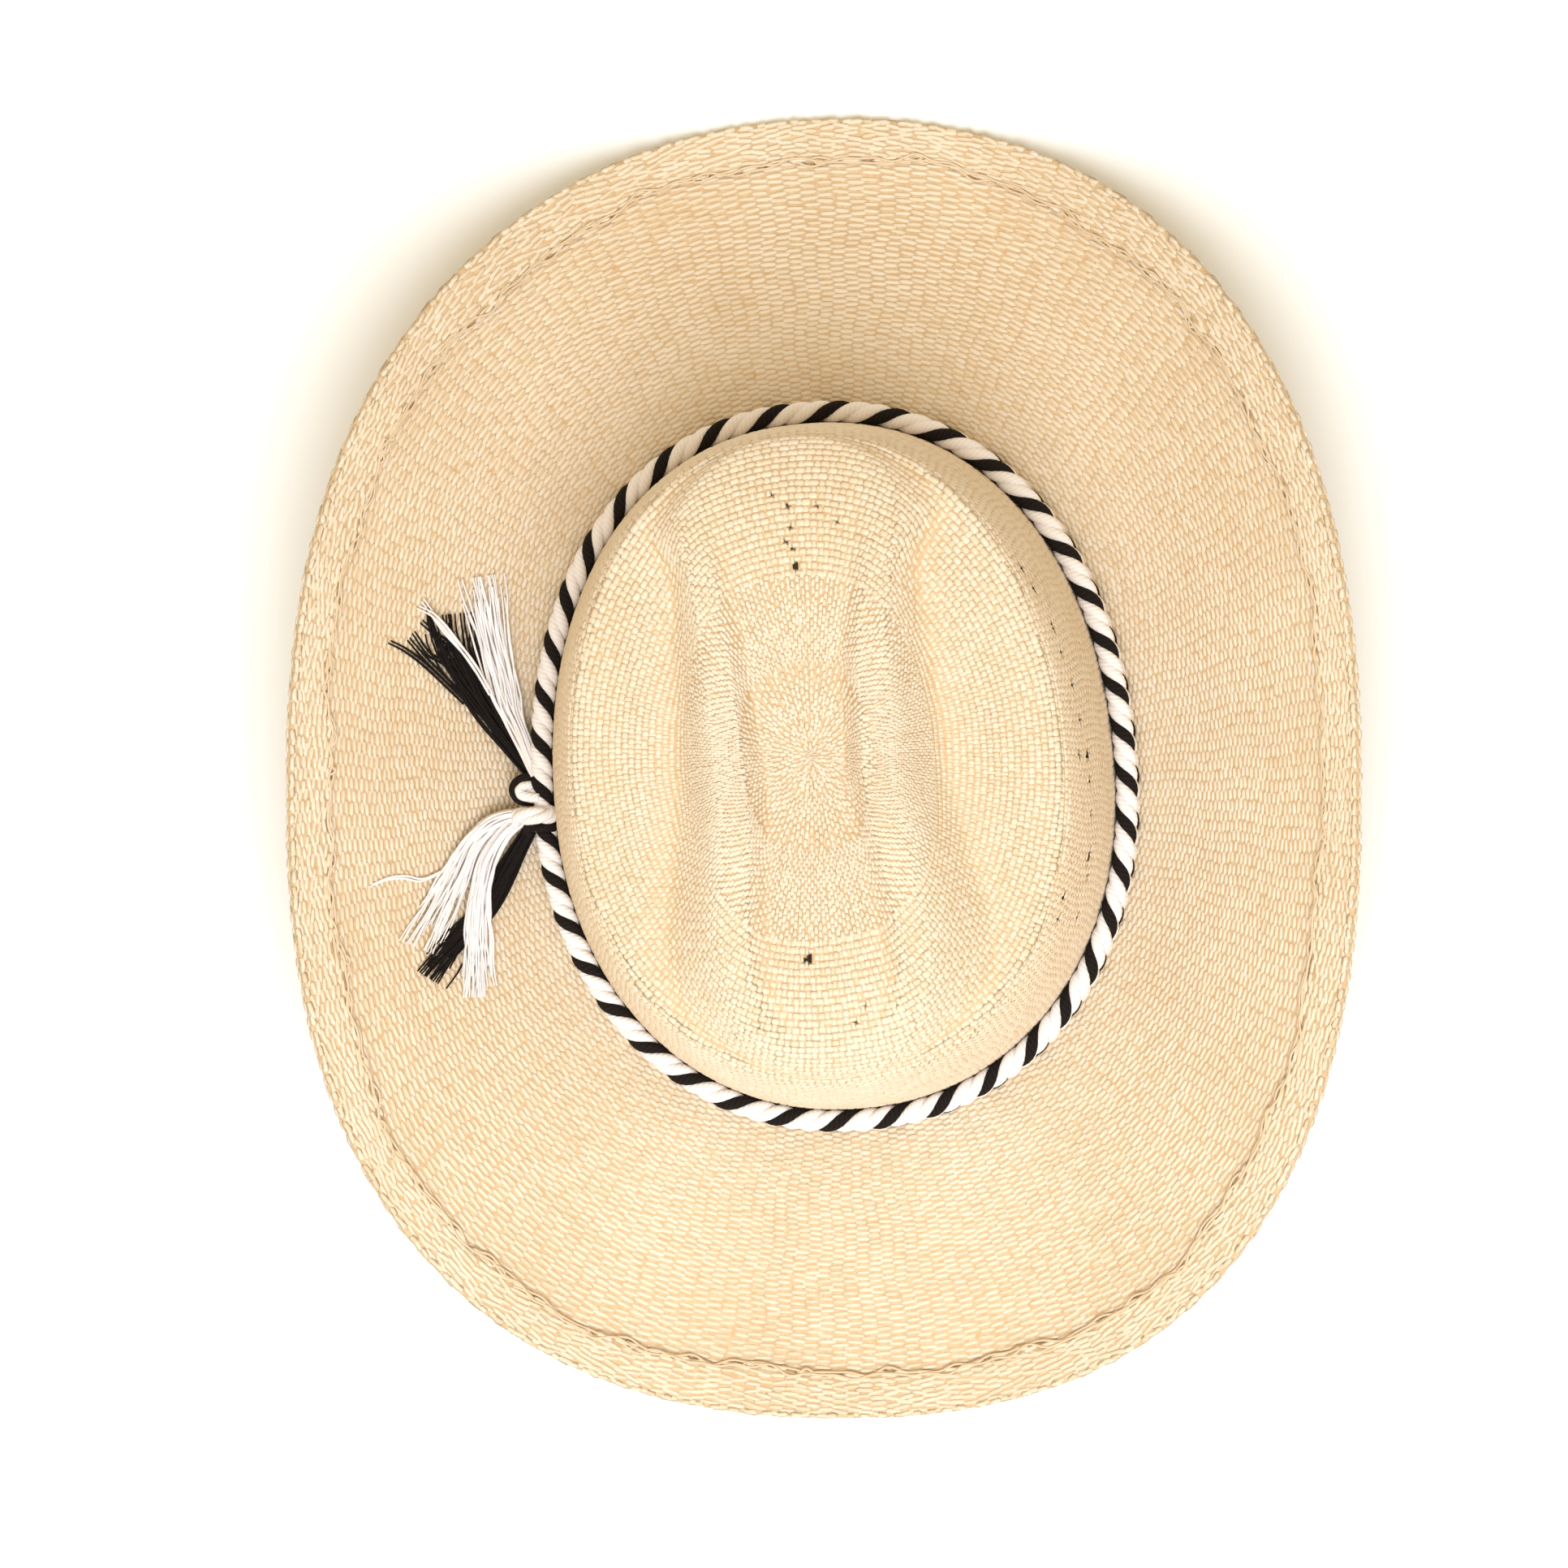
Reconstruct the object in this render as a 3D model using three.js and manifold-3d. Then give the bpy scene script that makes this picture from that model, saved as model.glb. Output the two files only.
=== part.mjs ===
// A woven straw cowboy hat: a creased crown and a broad curled brim in one woven piece, a twisted
// cord wound twice round the crown's foot, its knot on the wearer's left and four fringed cord ends.
// Millimetres, +Z up. The front is at -Y and the wearer's left at +X. The hat stands on the dipped
// front and back of its brim, at z = 0.
import * as THREE from "three";
import { mergeVertices } from "three/addons/utils/BufferGeometryUtils.js";
import Module from "manifold-3d";

// Woven straw
const STRAW = 1.6;
const HEM_THICKNESS = 1.3; // what the turned-over edge adds on top
const HEM_WIDTH = 13;

// Crown outline at the brim, from the hat's middle axis. The front is longer, as on a head.
const BASE_HALF_WIDTH = 85.7;
const BASE_FRONT = 109.8;
const BASE_BACK = 99.1;
const CROWN_TURN = THREE.MathUtils.degToRad(4.4); // the crown sits a little askew in the brim
const CROWN_SHIFT = 1.6; // and a little towards the wearer's right

// Crown above the brim
const SHOULDER_HEIGHT = 85;
const SIDE_TAPER = 14.9; // how far the shoulder stands in from the foot
const FRONT_TAPER = 8.8;
const BACK_TAPER = 13.9;
const RIDGE_RISE = 21; // ridges above the shoulder
const CREASE_DEPTH = 12.5; // middle crease below the ridges
const DENT_DEPTH = 4; // side dents below the shoulder

// Brim
const SIDE_REACH = 72.3; // seen from above, beyond the crown's foot
const FRONT_REACH = 95.3;
const BACK_REACH = 96.2;
const SIDE_CURL = 50; // side edges above the crown's foot
const END_DIP = 22; // front and back edges below it

// Cord band
const CORD = 6.5;
const GAP = 0.3; // clearance between neighbouring pieces
const KNOT_BEARING = THREE.MathUtils.degToRad(3); // from the wearer's left towards the back
const KNOT_LENGTH = 13; // along the cord
const KNOT_STRAND = 3.4;
const LOOP_WIDTH = 9.5;
const LOOP_TILT = 1.2; // how far its front end stands over its middle

// Fringed ends, from the knot to their tips
const FRONT_TASSEL = 62;
const BACK_TASSEL = 60;
const ROOT_WIDTH = 3.6;
const TIP_WIDTH = 4.6;

// Mesh fineness
const COLUMNS = 60;
const CORD_SIDES = 8;
const LOCK_SIDES = 5;
const FACET_SAG = 0.5; // how far a flat facet of the curled brim may stand over its true curve
const SLOPE_STEP = 1; // distance over which the brim's slope is taken

// Crown sides, from the shoulder down to the foot: shares of the shoulder's height and of the taper
const CROWN_WALL = [
  { up: 0.93, inset: 0.86 },
  { up: 0.76, inset: 0.62 },
  { up: 0.48, inset: 0.32 },
  { up: 0.2, inset: 0.1 },
  { up: 0.06, inset: 0.02 },
  { up: 0, inset: 0 },
];

// Crown top, front to back. along is a share of the half length; floor, ridge and toe are shares of
// the width there, out to the crease's floor, the ridge and the side dent's foot; the last three
// are shares of RIDGE_RISE, CREASE_DEPTH and DENT_DEPTH.
const CROWN_TOP = [
  { along: -1.0, floor: 0.5, ridge: 0.7, toe: 0.96, rise: 0.4, crease: 0.0, dent: 0.0 },
  { along: -0.8, floor: 0.4, ridge: 0.62, toe: 0.92, rise: 0.66, crease: 0.12, dent: 0.1 },
  { along: -0.6, floor: 0.27, ridge: 0.43, toe: 0.62, rise: 0.82, crease: 0.35, dent: 0.5 },
  { along: -0.4, floor: 0.2, ridge: 0.34, toe: 0.57, rise: 0.91, crease: 0.7, dent: 0.9 },
  { along: -0.18, floor: 0.17, ridge: 0.31, toe: 0.56, rise: 0.97, crease: 0.95, dent: 1.0 },
  { along: 0.05, floor: 0.16, ridge: 0.3, toe: 0.58, rise: 1.0, crease: 1.0, dent: 1.0 },
  { along: 0.3, floor: 0.195, ridge: 0.34, toe: 0.66, rise: 1.0, crease: 0.85, dent: 1.0 },
  { along: 0.52, floor: 0.25, ridge: 0.41, toe: 0.78, rise: 1.0, crease: 0.62, dent: 0.8 },
  { along: 0.73, floor: 0.29, ridge: 0.48, toe: 0.9, rise: 0.98, crease: 0.32, dent: 0.4 },
  { along: 0.9, floor: 0.2, ridge: 0.52, toe: 0.93, rise: 0.92, crease: 0.05, dent: 0.0 },
  { along: 1.0, floor: 0.2, ridge: 0.55, toe: 0.95, rise: 0.85, crease: 0.0, dent: 0.0 },
];

// Loops of the crown top. A loop at 0 is the crease's middle line, at 1 it follows the crease's
// floor, at 2 the ridges, at 3 the feet of the side dents and at 4 the shoulder. reach is its share
// of the half length.
const LOOP_REACH = [
  { loop: 0, reach: 0.5 },
  { loop: 1, reach: 0.62 },
  { loop: 2, reach: 0.83 },
  { loop: 3, reach: 0.93 },
  { loop: 4, reach: 1 },
];
const TOP_LOOPS = [0.25, 1, 1.4, 1.8, 2.3, 2.65, 3.05, 3.5, 3.8, 4];
// Rows of the brim, as shares of the way from the crown's foot to the hem's inner edge
const BRIM_ROWS = [0.08, 0.22, 0.38, 0.54, 0.7, 0.86, 0.97];
const HEM_ROWS = [0.25, 0.97]; // across the hem, from its raw edge to the fold
const HEM_RAMP = 0.1; // share of the brim's width over which what lies on it climbs onto the hem

// Powers of the superellipses: 2 is an ellipse, and more is fuller at the corners
const FRONT_ROUNDNESS = 2.18;
const BACK_ROUNDNESS = 2.12;
const BRIM_FRONT_ROUNDNESS = 2.25;
const BRIM_BACK_ROUNDNESS = 2.4;
// How fast the crown's top rounds over into its walls: more is later and tighter
const END_ROUNDING = 5;
const SIDE_ROUNDING = 10;
const RIM_SHARE = 0.97; // height where that rounding ends, as a share of the shoulder's
const DENT_SPREAD = 0.14; // half width of a side dent, as a share of the crown's half width
const CREST = 0.05; // half width of a ridge's crest, as a share of the crown's half width
const STEEP_SHARE = 0.7; // share of a ridge's rise and of the crease that lies in its steep flanks
// The ridges sit towards the wearer's left, more so at the front: shares of the crown's half width
const RIDGE_SHIFT = 0.037;
const RIDGE_SKEW = 0.056;

// Where the brim stays flat and low: share of the half width that the front and back rest on
const REST_SHARE = 0.16;
const DIP_ENDS = 0.85; // share of the brim's width where the dip levels out
const CURL_START = 0.22; // share of the brim's width where the sides bend up
const CURL_SOFTNESS = 0.15;

const wasm = await Module();
wasm.setup();

const straw = material(0xe9cd9c, 0.85);
const whiteCotton = material(0xf2ece6, 0.9);
const blackCotton = material(0x231d1c, 0.9);

function material(color, roughness) {
  return new THREE.MeshStandardMaterial({ color, roughness, metalness: 0 });
}

// Smooth curve through one column of a table, as a function of another
function tableValue(rows, by, column, at) {
  let i = rows.findIndex((row) => row[by] >= at);
  if (i < 0) return rows[rows.length - 1][column];
  if (i === 0) return rows[0][column];
  i -= 1;
  const slope = (k) => {
    const before = rows[Math.max(k - 1, 0)];
    const after = rows[Math.min(k + 1, rows.length - 1)];
    return (after[column] - before[column]) / (after[by] - before[by]);
  };
  const span = rows[i + 1][by] - rows[i][by];
  const t = (at - rows[i][by]) / span;
  const rise = t * t * (3 - 2 * t);
  return (
    rows[i][column] * (1 - rise) +
    rows[i + 1][column] * rise +
    span * slope(i) * t * (1 - t) ** 2 -
    span * slope(i + 1) * t * t * (1 - t)
  );
}

const between = (low, high, value) => THREE.MathUtils.smoothstep(value, low, high);

// Distance from the middle axis to a superellipse with its own front and back
function ovalRadius(bearing, halfWidth, front, back, frontRoundness, backRoundness) {
  const across = Math.abs(Math.cos(bearing)) / halfWidth;
  const isFront = Math.sin(bearing) < 0;
  const along = Math.abs(Math.sin(bearing)) / (isFront ? front : back);
  const power = isFront ? frontRoundness : backRoundness;
  return (across ** power + along ** power) ** (-1 / power);
}

// Crown outline, set in from the foot by a share of the taper. bearing is in the brim's frame.
function crownRadius(bearing, inset) {
  return ovalRadius(
    bearing - CROWN_TURN,
    BASE_HALF_WIDTH - inset * SIDE_TAPER,
    BASE_FRONT - inset * FRONT_TAPER,
    BASE_BACK - inset * BACK_TAPER,
    FRONT_ROUNDNESS,
    BACK_ROUNDNESS,
  );
}

// Brim outline. It is centred on the origin, and its radius is counted from the crown's middle.
function brimRadius(bearing) {
  const oval = ovalRadius(
    bearing,
    BASE_HALF_WIDTH + SIDE_REACH,
    BASE_FRONT + FRONT_REACH,
    BASE_BACK + BACK_REACH,
    BRIM_FRONT_ROUNDNESS,
    BRIM_BACK_ROUNDNESS,
  );
  return oval + CROWN_SHIFT * Math.cos(bearing);
}

const FOOT_HEIGHT = STRAW + END_DIP; // upper side of the brim at the crown's foot
// The whole brim, front to back, is centred on the origin
const MIDDLE_Y = (BASE_FRONT + FRONT_REACH - BASE_BACK - BACK_REACH) / 2;

function point(bearing, radius, height) {
  return new THREE.Vector3(
    radius * Math.cos(bearing) - CROWN_SHIFT,
    MIDDLE_Y + radius * Math.sin(bearing),
    height,
  );
}

// Half width of the shoulder's outline at a share of its half length
function shoulderWidth(along) {
  const power = along < 0 ? FRONT_ROUNDNESS : BACK_ROUNDNESS;
  return (BASE_HALF_WIDTH - SIDE_TAPER) * (1 - Math.min(Math.abs(along), 1) ** power) ** (1 / power);
}

const ridgeShift = (along) => RIDGE_SHIFT - RIDGE_SKEW * along;

// Height of the crown's top, with its ridges, crease and side dents. along is a share of the half
// length, and across a share of the width there.
function topHeight(across, along) {
  const at = (column) => tableValue(CROWN_TOP, "along", column, along);
  const { lerp } = THREE.MathUtils;
  const steepMesa = 1 - between(at("ridge") + CREST, at("toe"), across);
  const steepCrease = 1 - between(at("floor"), at("ridge") - CREST, across);
  const mesa = lerp(1 - between(at("ridge"), 1, across), steepMesa, STEEP_SHARE);
  const crease = lerp(1 - between(0, at("ridge"), across), steepCrease, STEEP_SHARE);
  const dent = Math.exp(-(((across - at("toe")) / DENT_SPREAD) ** 2));
  return (
    SHOULDER_HEIGHT +
    RIDGE_RISE * at("rise") * mesa -
    CREASE_DEPTH * at("crease") * crease -
    DENT_DEPTH * at("dent") * dent
  );
}

// Point of a loop of the crown top, rounded over towards the shoulder
function crownTop(bearing, loop) {
  const own = bearing - CROWN_TURN;
  const shoulder = crownRadius(bearing, 1);
  const length = Math.sin(own) < 0 ? BASE_FRONT - FRONT_TAPER : BASE_BACK - BACK_TAPER;
  const reach = tableValue(LOOP_REACH, "loop", "reach", loop);
  const along = (reach * shoulder * Math.sin(own)) / length;
  const lines = ["floor", "ridge", "toe"].map((c) => tableValue(CROWN_TOP, "along", c, along));
  const stops = [0, ...lines, 1].map((across, i) => ({ loop: i, across }));
  const low = Math.min(Math.floor(loop), 3);
  const across = THREE.MathUtils.lerp(stops[low].across, stops[low + 1].across, loop - low);
  const middle = ridgeShift(along) * shoulderWidth(along);
  const x = THREE.MathUtils.lerp(middle, shoulder * Math.cos(own), across);
  const y = along * length;
  const share = Math.hypot(x, y) / crownRadius(Math.atan2(y, x) + CROWN_TURN, 1);
  const sideways = Math.cos(own) ** 2;
  const rounding = Math.sqrt(
    Math.max(0, 1 - share ** THREE.MathUtils.lerp(END_ROUNDING, SIDE_ROUNDING, sideways)),
  );
  const rim = SHOULDER_HEIGHT * RIM_SHARE;
  const aside = x / Math.max(shoulderWidth(along), Math.abs(x), 1e-6) - ridgeShift(along);
  const width = Math.abs(aside) / (1 - ridgeShift(along) * Math.sign(aside));
  const height = rim + (topHeight(width, along) - rim) * rounding;
  return point(Math.atan2(y, x) + CROWN_TURN, Math.hypot(x, y), FOOT_HEIGHT + height);
}

function crownWall(bearing, up, inset) {
  return point(bearing, crownRadius(bearing, inset), FOOT_HEIGHT + up * SHOULDER_HEIGHT);
}

// Brim: share runs from 0 at the crown's foot to 1 at the edge
function brim(bearing, share) {
  const inner = crownRadius(bearing, 0);
  const radius = THREE.MathUtils.lerp(inner, brimRadius(bearing), share);
  return point(bearing, radius, brimHeight(bearing, share));
}

function brimHeight(bearing, share) {
  const knee = (s) => Math.hypot(s - CURL_START, CURL_SOFTNESS) + s - CURL_START;
  const curl = (knee(share) - knee(0)) / (knee(1) - knee(0));
  const side = between(REST_SHARE, 1, Math.abs(Math.cos(bearing)));
  const dip = between(0, DIP_ENDS, share);
  return FOOT_HEIGHT + side * SIDE_CURL * curl - (1 - side) * END_DIP * dip;
}

// Where the hem's raw inner edge lies, as a share of the brim's width
function hemShare(bearing) {
  return 1 - HEM_WIDTH / (brimRadius(bearing) - crownRadius(bearing, 0));
}

// Height of the upper side of the brim, or of the hem on it, over a place seen from above
function brimHeightAt(x, y) {
  const bearing = Math.atan2(y - MIDDLE_Y, x + CROWN_SHIFT);
  const inner = crownRadius(bearing, 0);
  const radius = Math.hypot(x + CROWN_SHIFT, y - MIDDLE_Y);
  const share = (radius - inner) / (brimRadius(bearing) - inner);
  const hem = HEM_THICKNESS * between(hemShare(bearing) - HEM_RAMP, hemShare(bearing), share);
  return brimHeight(bearing, THREE.MathUtils.clamp(share, 0, 1)) + hem;
}

// Upward direction square to the brim over a place seen from above
function brimNormalAt(x, y) {
  const step = SLOPE_STEP;
  const slopeX = (brimHeightAt(x + step, y) - brimHeightAt(x - step, y)) / (2 * step);
  const slopeY = (brimHeightAt(x, y + step) - brimHeightAt(x, y - step)) / (2 * step);
  return new THREE.Vector3(-slopeX, -slopeY, 1).normalize();
}

// Closed mesh over rings of points, each ring with as many points. Its two ends are closed by
// ladders of faces, or the last ring joins the first.
function skin(rings, closed = false) {
  const sides = rings[0].length;
  const faces = [];
  const id = (ring, side) => (ring % rings.length) * sides + (side % sides);
  const spans = closed ? rings.length : rings.length - 1;
  for (let r = 0; r < spans; r++)
    for (let s = 0; s < sides; s++) {
      faces.push(id(r, s), id(r, s + 1), id(r + 1, s + 1));
      faces.push(id(r, s), id(r + 1, s + 1), id(r + 1, s));
    }
  if (!closed) {
    const first = rings[0].map((_, s) => id(0, s));
    const last = rings[0].map((_, s) => id(rings.length - 1, s));
    faces.push(...ladder(last), ...ladder(first.reverse()));
  }
  return new THREE.BufferGeometry().setFromPoints(rings.flat()).setIndex(faces);
}

// Faces that close a ring of vertex numbers, rung by rung from its first to its middle one
function ladder(ring) {
  const faces = [ring[0], ring[1], ring[ring.length - 1]];
  for (let low = 1, high = ring.length - 1; low + 1 < high; low++, high--) {
    faces.push(ring[low], ring[low + 1], ring[high]);
    if (low + 1 < high - 1) faces.push(ring[low + 1], ring[high - 1], ring[high]);
  }
  return faces;
}

// Clockwise from the crown's front, so that the skin of the woven piece faces out
function columnBearings() {
  const front = CROWN_TURN - Math.PI / 2;
  return Array.from({ length: COLUMNS }, (_, i) => front - (2 * Math.PI * i) / COLUMNS);
}

// The woven piece: an outer skin from the crown's middle to the edge, and an inner one back
function wovenBody() {
  const sheet = [
    ...TOP_LOOPS.map((loop) => (bearing) => crownTop(bearing, loop)),
    ...CROWN_WALL.map(({ up, inset }) => (bearing) => crownWall(bearing, up, inset)),
    ...BRIM_ROWS.map((share) => (bearing) => brim(bearing, share * hemShare(bearing))),
  ];
  const hem = HEM_ROWS.map((across) => (bearing) =>
    brim(bearing, THREE.MathUtils.lerp(hemShare(bearing), 1, across)),
  );
  const rows = [...sheet, ...hem];
  const bearings = columnBearings();
  const grid = rows.map((row) => bearings.map(row));
  const normals = gridNormals(grid);
  const offset = (row, distance) =>
    grid[row].map((p, i) => p.clone().addScaledVector(normals[row][i], distance));
  const outer = grid.map((ring, row) => (row < sheet.length ? ring : offset(row, HEM_THICKNESS)));
  const inner = grid.map((_, row) => offset(row, -STRAW));
  const fold = bearings.map((bearing, i) => {
    const low = inner[rows.length - 1][i];
    const high = outer[rows.length - 1][i];
    const out = brim(bearing, 1).sub(brim(bearing, hemShare(bearing))).normalize();
    return low.clone().lerp(high, 0.5).addScaledVector(out, STRAW / 2);
  });
  return skin([...outer, fold, ...inner.reverse()]);
}

// Outward normal at each point of a grid of rings that runs from the crown's middle outwards
function gridNormals(grid) {
  return grid.map((ring, r) =>
    ring.map((_, i) => {
      const before = ring[(i + ring.length - 1) % ring.length];
      const after = ring[(i + 1) % ring.length];
      const inward = grid[Math.max(r - 1, 0)][i];
      const outward = grid[Math.min(r + 1, grid.length - 1)][i];
      const around = after.clone().sub(before);
      const out = outward.clone().sub(inward);
      return around.cross(out).normalize();
    }),
  );
}

// Section of a tube: a flattened ring of points round a place, square to the way forward
function section(place, forward, upwards, width, thickness, sides) {
  const side = upwards.clone().cross(forward).normalize();
  const up = forward.clone().cross(side).normalize();
  return Array.from({ length: sides }, (_, k) => {
    const turn = (2 * Math.PI * (k + 0.5)) / sides;
    return place
      .clone()
      .addScaledVector(side, (Math.cos(turn) * width) / 2)
      .addScaledVector(up, (Math.sin(turn) * thickness) / 2);
  });
}

// Way forward at one of the points of a closed or open run
function heading(points, i, closed) {
  const count = points.length;
  const before = points[closed ? (i + count - 1) % count : Math.max(i - 1, 0)];
  const after = points[closed ? (i + 1) % count : Math.min(i + 1, count - 1)];
  return after.clone().sub(before).normalize();
}

// One turn of the cord, resting against the crown's wall at a height over the brim
function cordPoint(bearing, layer) {
  const lift = CORD / 2 + GAP + layer * (CORD + GAP);
  const up = lift / SHOULDER_HEIGHT;
  const wall = (b) => point(b, crownRadius(b, wallInset(up)), 0);
  const step = Math.PI / COLUMNS;
  const around = wall(bearing + step).sub(wall(bearing - step)).normalize();
  const out = new THREE.Vector3(around.y, -around.x, 0);
  const place = wall(bearing).addScaledVector(out, CORD / 2 + GAP);
  const rim = place.clone().addScaledVector(out, CORD / 2);
  place.z = Math.max(brimHeightAt(rim.x, rim.y), FOOT_HEIGHT) + lift;
  return place;
}

function wallInset(up) {
  return tableValue([...CROWN_WALL].reverse(), "up", "inset", up);
}

function cordTurn(layer) {
  const points = columnBearings().map((bearing) => cordPoint(bearing, layer));
  const rings = points.map((p, i) =>
    section(p, heading(points, i, true), upward, CORD, CORD, CORD_SIDES),
  );
  return skin(rings, true);
}

// Directions at the knot: out from the crown, along the cord to the front, and up
const upward = new THREE.Vector3(0, 0, 1);
const knotPlace = cordPoint(KNOT_BEARING, 1);
const justAhead = KNOT_BEARING - Math.PI / COLUMNS / 2;
const toFront = cordPoint(justAhead, 1).sub(knotPlace).setZ(0).normalize();
const outward = new THREE.Vector3(-toFront.y, toFront.x, 0);

function fromKnot(out, front, up) {
  return knotPlace
    .clone()
    .addScaledVector(outward, out)
    .addScaledVector(toFront, front)
    .addScaledVector(upward, up);
}

// A tube of constant size through a few points in the knot's own directions
function strand(points, size, steps, closed = false) {
  const curve = new THREE.CatmullRomCurve3(points, closed);
  const places = curve.getSpacedPoints(steps);
  if (closed) places.pop();
  let up = outward.clone().addScaledVector(upward, 0.5);
  const rings = places.map((p, i) => {
    const forward = heading(places, i, closed);
    up = up.clone().addScaledVector(forward, -up.dot(forward)).normalize();
    return section(p, forward, up, size, size, LOCK_SIDES);
  });
  return solid(skin(rings, closed));
}

function solid(geometry) {
  const merged = mergeVertices(geometry, 1e-4);
  return new wasm.Manifold(
    new wasm.Mesh({
      numProp: 3,
      vertProperties: merged.attributes.position.array,
      triVerts: new Uint32Array(merged.index.array),
    }),
  );
}

function geometryOf(manifold) {
  const mesh = manifold.getMesh();
  const stride = mesh.numProp;
  const positions = new Float32Array(mesh.numVert * 3);
  for (let i = 0; i < mesh.numVert; i++)
    positions.set(mesh.vertProperties.subarray(i * stride, i * stride + 3), i * 3);
  return new THREE.BufferGeometry()
    .setAttribute("position", new THREE.BufferAttribute(positions, 3))
    .setIndex(new THREE.BufferAttribute(mesh.triVerts, 1));
}

// Distance of the knot's strands from the middle of the cord that they lie on
const KNOT_CLEAR = CORD / 2 + 2 * GAP + KNOT_STRAND / 2;
// A strand hooked over the upper turn: shares of KNOT_CLEAR
const HOOK = [
  { out: -0.18, up: 1 },
  { out: 0.72, up: 0.72 },
  { out: 1, up: 0 },
  { out: 1, up: -0.64 },
];
const HOOKS_AT = [-0.38, -0.1]; // along the knot, as shares of its length
// A strand along the cord: shares of KNOT_CLEAR, KNOT_LENGTH and CORD
const BAR = [
  { out: 1, front: -0.45, up: -0.3 },
  { out: 1.07, front: -0.1, up: -0.3 },
  { out: 1.14, front: 0.3, up: -0.3 },
];
const LOOP_AHEAD = 0.25; // of the knot's length
const LOOP_STRETCH = 1.15; // its length to its width
const LOOP_POINTS = 6;
const STRAND_STEPS = 6;
const LOOP_STEPS = 10;

// The knot: strands hooked over the cord, one along it and a small loop over the brim
function knot() {
  const hooks = HOOKS_AT.map((at) => {
    const points = HOOK.map(({ out, up }) =>
      fromKnot(out * KNOT_CLEAR, at * KNOT_LENGTH, up * KNOT_CLEAR),
    );
    return strand(points, KNOT_STRAND, STRAND_STEPS);
  });
  const bar = BAR.map(({ out, front, up }) =>
    fromKnot(out * KNOT_CLEAR, front * KNOT_LENGTH, up * CORD),
  );
  return geometryOf(
    wasm.Manifold.union([
      ...hooks,
      strand(bar, KNOT_STRAND, STRAND_STEPS),
      strand(loopPoints(), KNOT_STRAND, LOOP_STEPS, true),
    ]),
  );
}

// The loop lies over the brim and, at its front end, over the root of a fringed end
function loopPoints() {
  const radius = (LOOP_WIDTH - KNOT_STRAND) / 2;
  const ahead = LOOP_AHEAD * KNOT_LENGTH;
  const middle = fromKnot(KNOT_CLEAR + LOOP_WIDTH / 2, ahead, 0);
  const outer = fromKnot(KNOT_CLEAR + LOOP_WIDTH, ahead, 0);
  const front = fromKnot(KNOT_CLEAR + LOOP_WIDTH / 2, ahead + radius * LOOP_STRETCH, 0);
  const clear = FACET_SAG + GAP + KNOT_STRAND / 2;
  middle.z = Math.max(
    brimHeightAt(outer.x, outer.y) + clear,
    brimHeightAt(front.x, front.y) + clear + ROOT_WIDTH + GAP - LOOP_TILT,
  );
  return Array.from({ length: LOOP_POINTS }, (_, i) => {
    const turn = (2 * Math.PI * i) / LOOP_POINTS;
    return middle
      .clone()
      .addScaledVector(outward, -Math.cos(turn) * radius)
      .addScaledVector(toFront, Math.sin(turn) * radius * LOOP_STRETCH)
      .addScaledVector(upward, Math.sin(turn) * LOOP_TILT);
  });
}

// Fringed ends. out and front are shares of the end's length, counted from the cord's outer side
// and from the knot's front or back end; lift is a share of the root's width over the brim. spread
// fans the locks apart at the tips, as a share of the length.
const TASSELS = [
  {
    name: "tassel_front_black",
    length: FRONT_TASSEL,
    spread: 0.07,
    toward: 1,
    path: [
      { out: 0.075, front: 0.02, lift: 0.0 },
      { out: 0.165, front: 0.3, lift: 0.0 },
      { out: 0.273, front: 0.575, lift: 0.0 },
      { out: 0.423, front: 0.865, lift: 0.0 },
    ],
  },
  {
    name: "tassel_front_white",
    length: FRONT_TASSEL,
    spread: 0.15,
    toward: 1,
    path: [
      { out: 0.043, front: 0.165, lift: 1.15 },
      { out: 0.083, front: 0.375, lift: 0.3 },
      { out: 0.143, front: 0.615, lift: 0.0 },
      { out: 0.253, front: 0.995, lift: 0.0 },
    ],
  },
  {
    name: "tassel_back_white_outer",
    length: BACK_TASSEL,
    spread: 0.14,
    toward: -1,
    path: [
      { out: 0.141, front: 0.018, lift: 0.3 },
      { out: 0.291, front: 0.112, lift: 0.1 },
      { out: 0.441, front: 0.312, lift: 0.2 },
      { out: 0.591, front: 0.642, lift: 0.4 },
    ],
  },
  {
    name: "tassel_back_white_inner",
    length: BACK_TASSEL,
    spread: 0.12,
    toward: -1,
    path: [
      { out: 0.091, front: 0.072, lift: 1.4 },
      { out: 0.221, front: 0.232, lift: 1.4 },
      { out: 0.261, front: 0.512, lift: 1.5 },
      { out: 0.251, front: 0.872, lift: 0.3 },
    ],
  },
  {
    name: "tassel_back_black",
    length: BACK_TASSEL,
    spread: 0.1,
    toward: -1,
    path: [
      { out: 0.051, front: 0.112, lift: 0.0 },
      { out: 0.141, front: 0.332, lift: 0.0 },
      { out: 0.271, front: 0.552, lift: 0.0 },
      { out: 0.511, front: 0.782, lift: 0.0 },
    ],
  },
];
const TASSEL_STEPS = 6;
const TIP_CLOSING = 0.6; // size of a lock's last section to what its width would be
const OUTER_SHORTER = 0.04; // how much shorter the outer locks are, as a share of the length
const FAN_START = 0.3; // share of the spread at the last point but one

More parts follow.
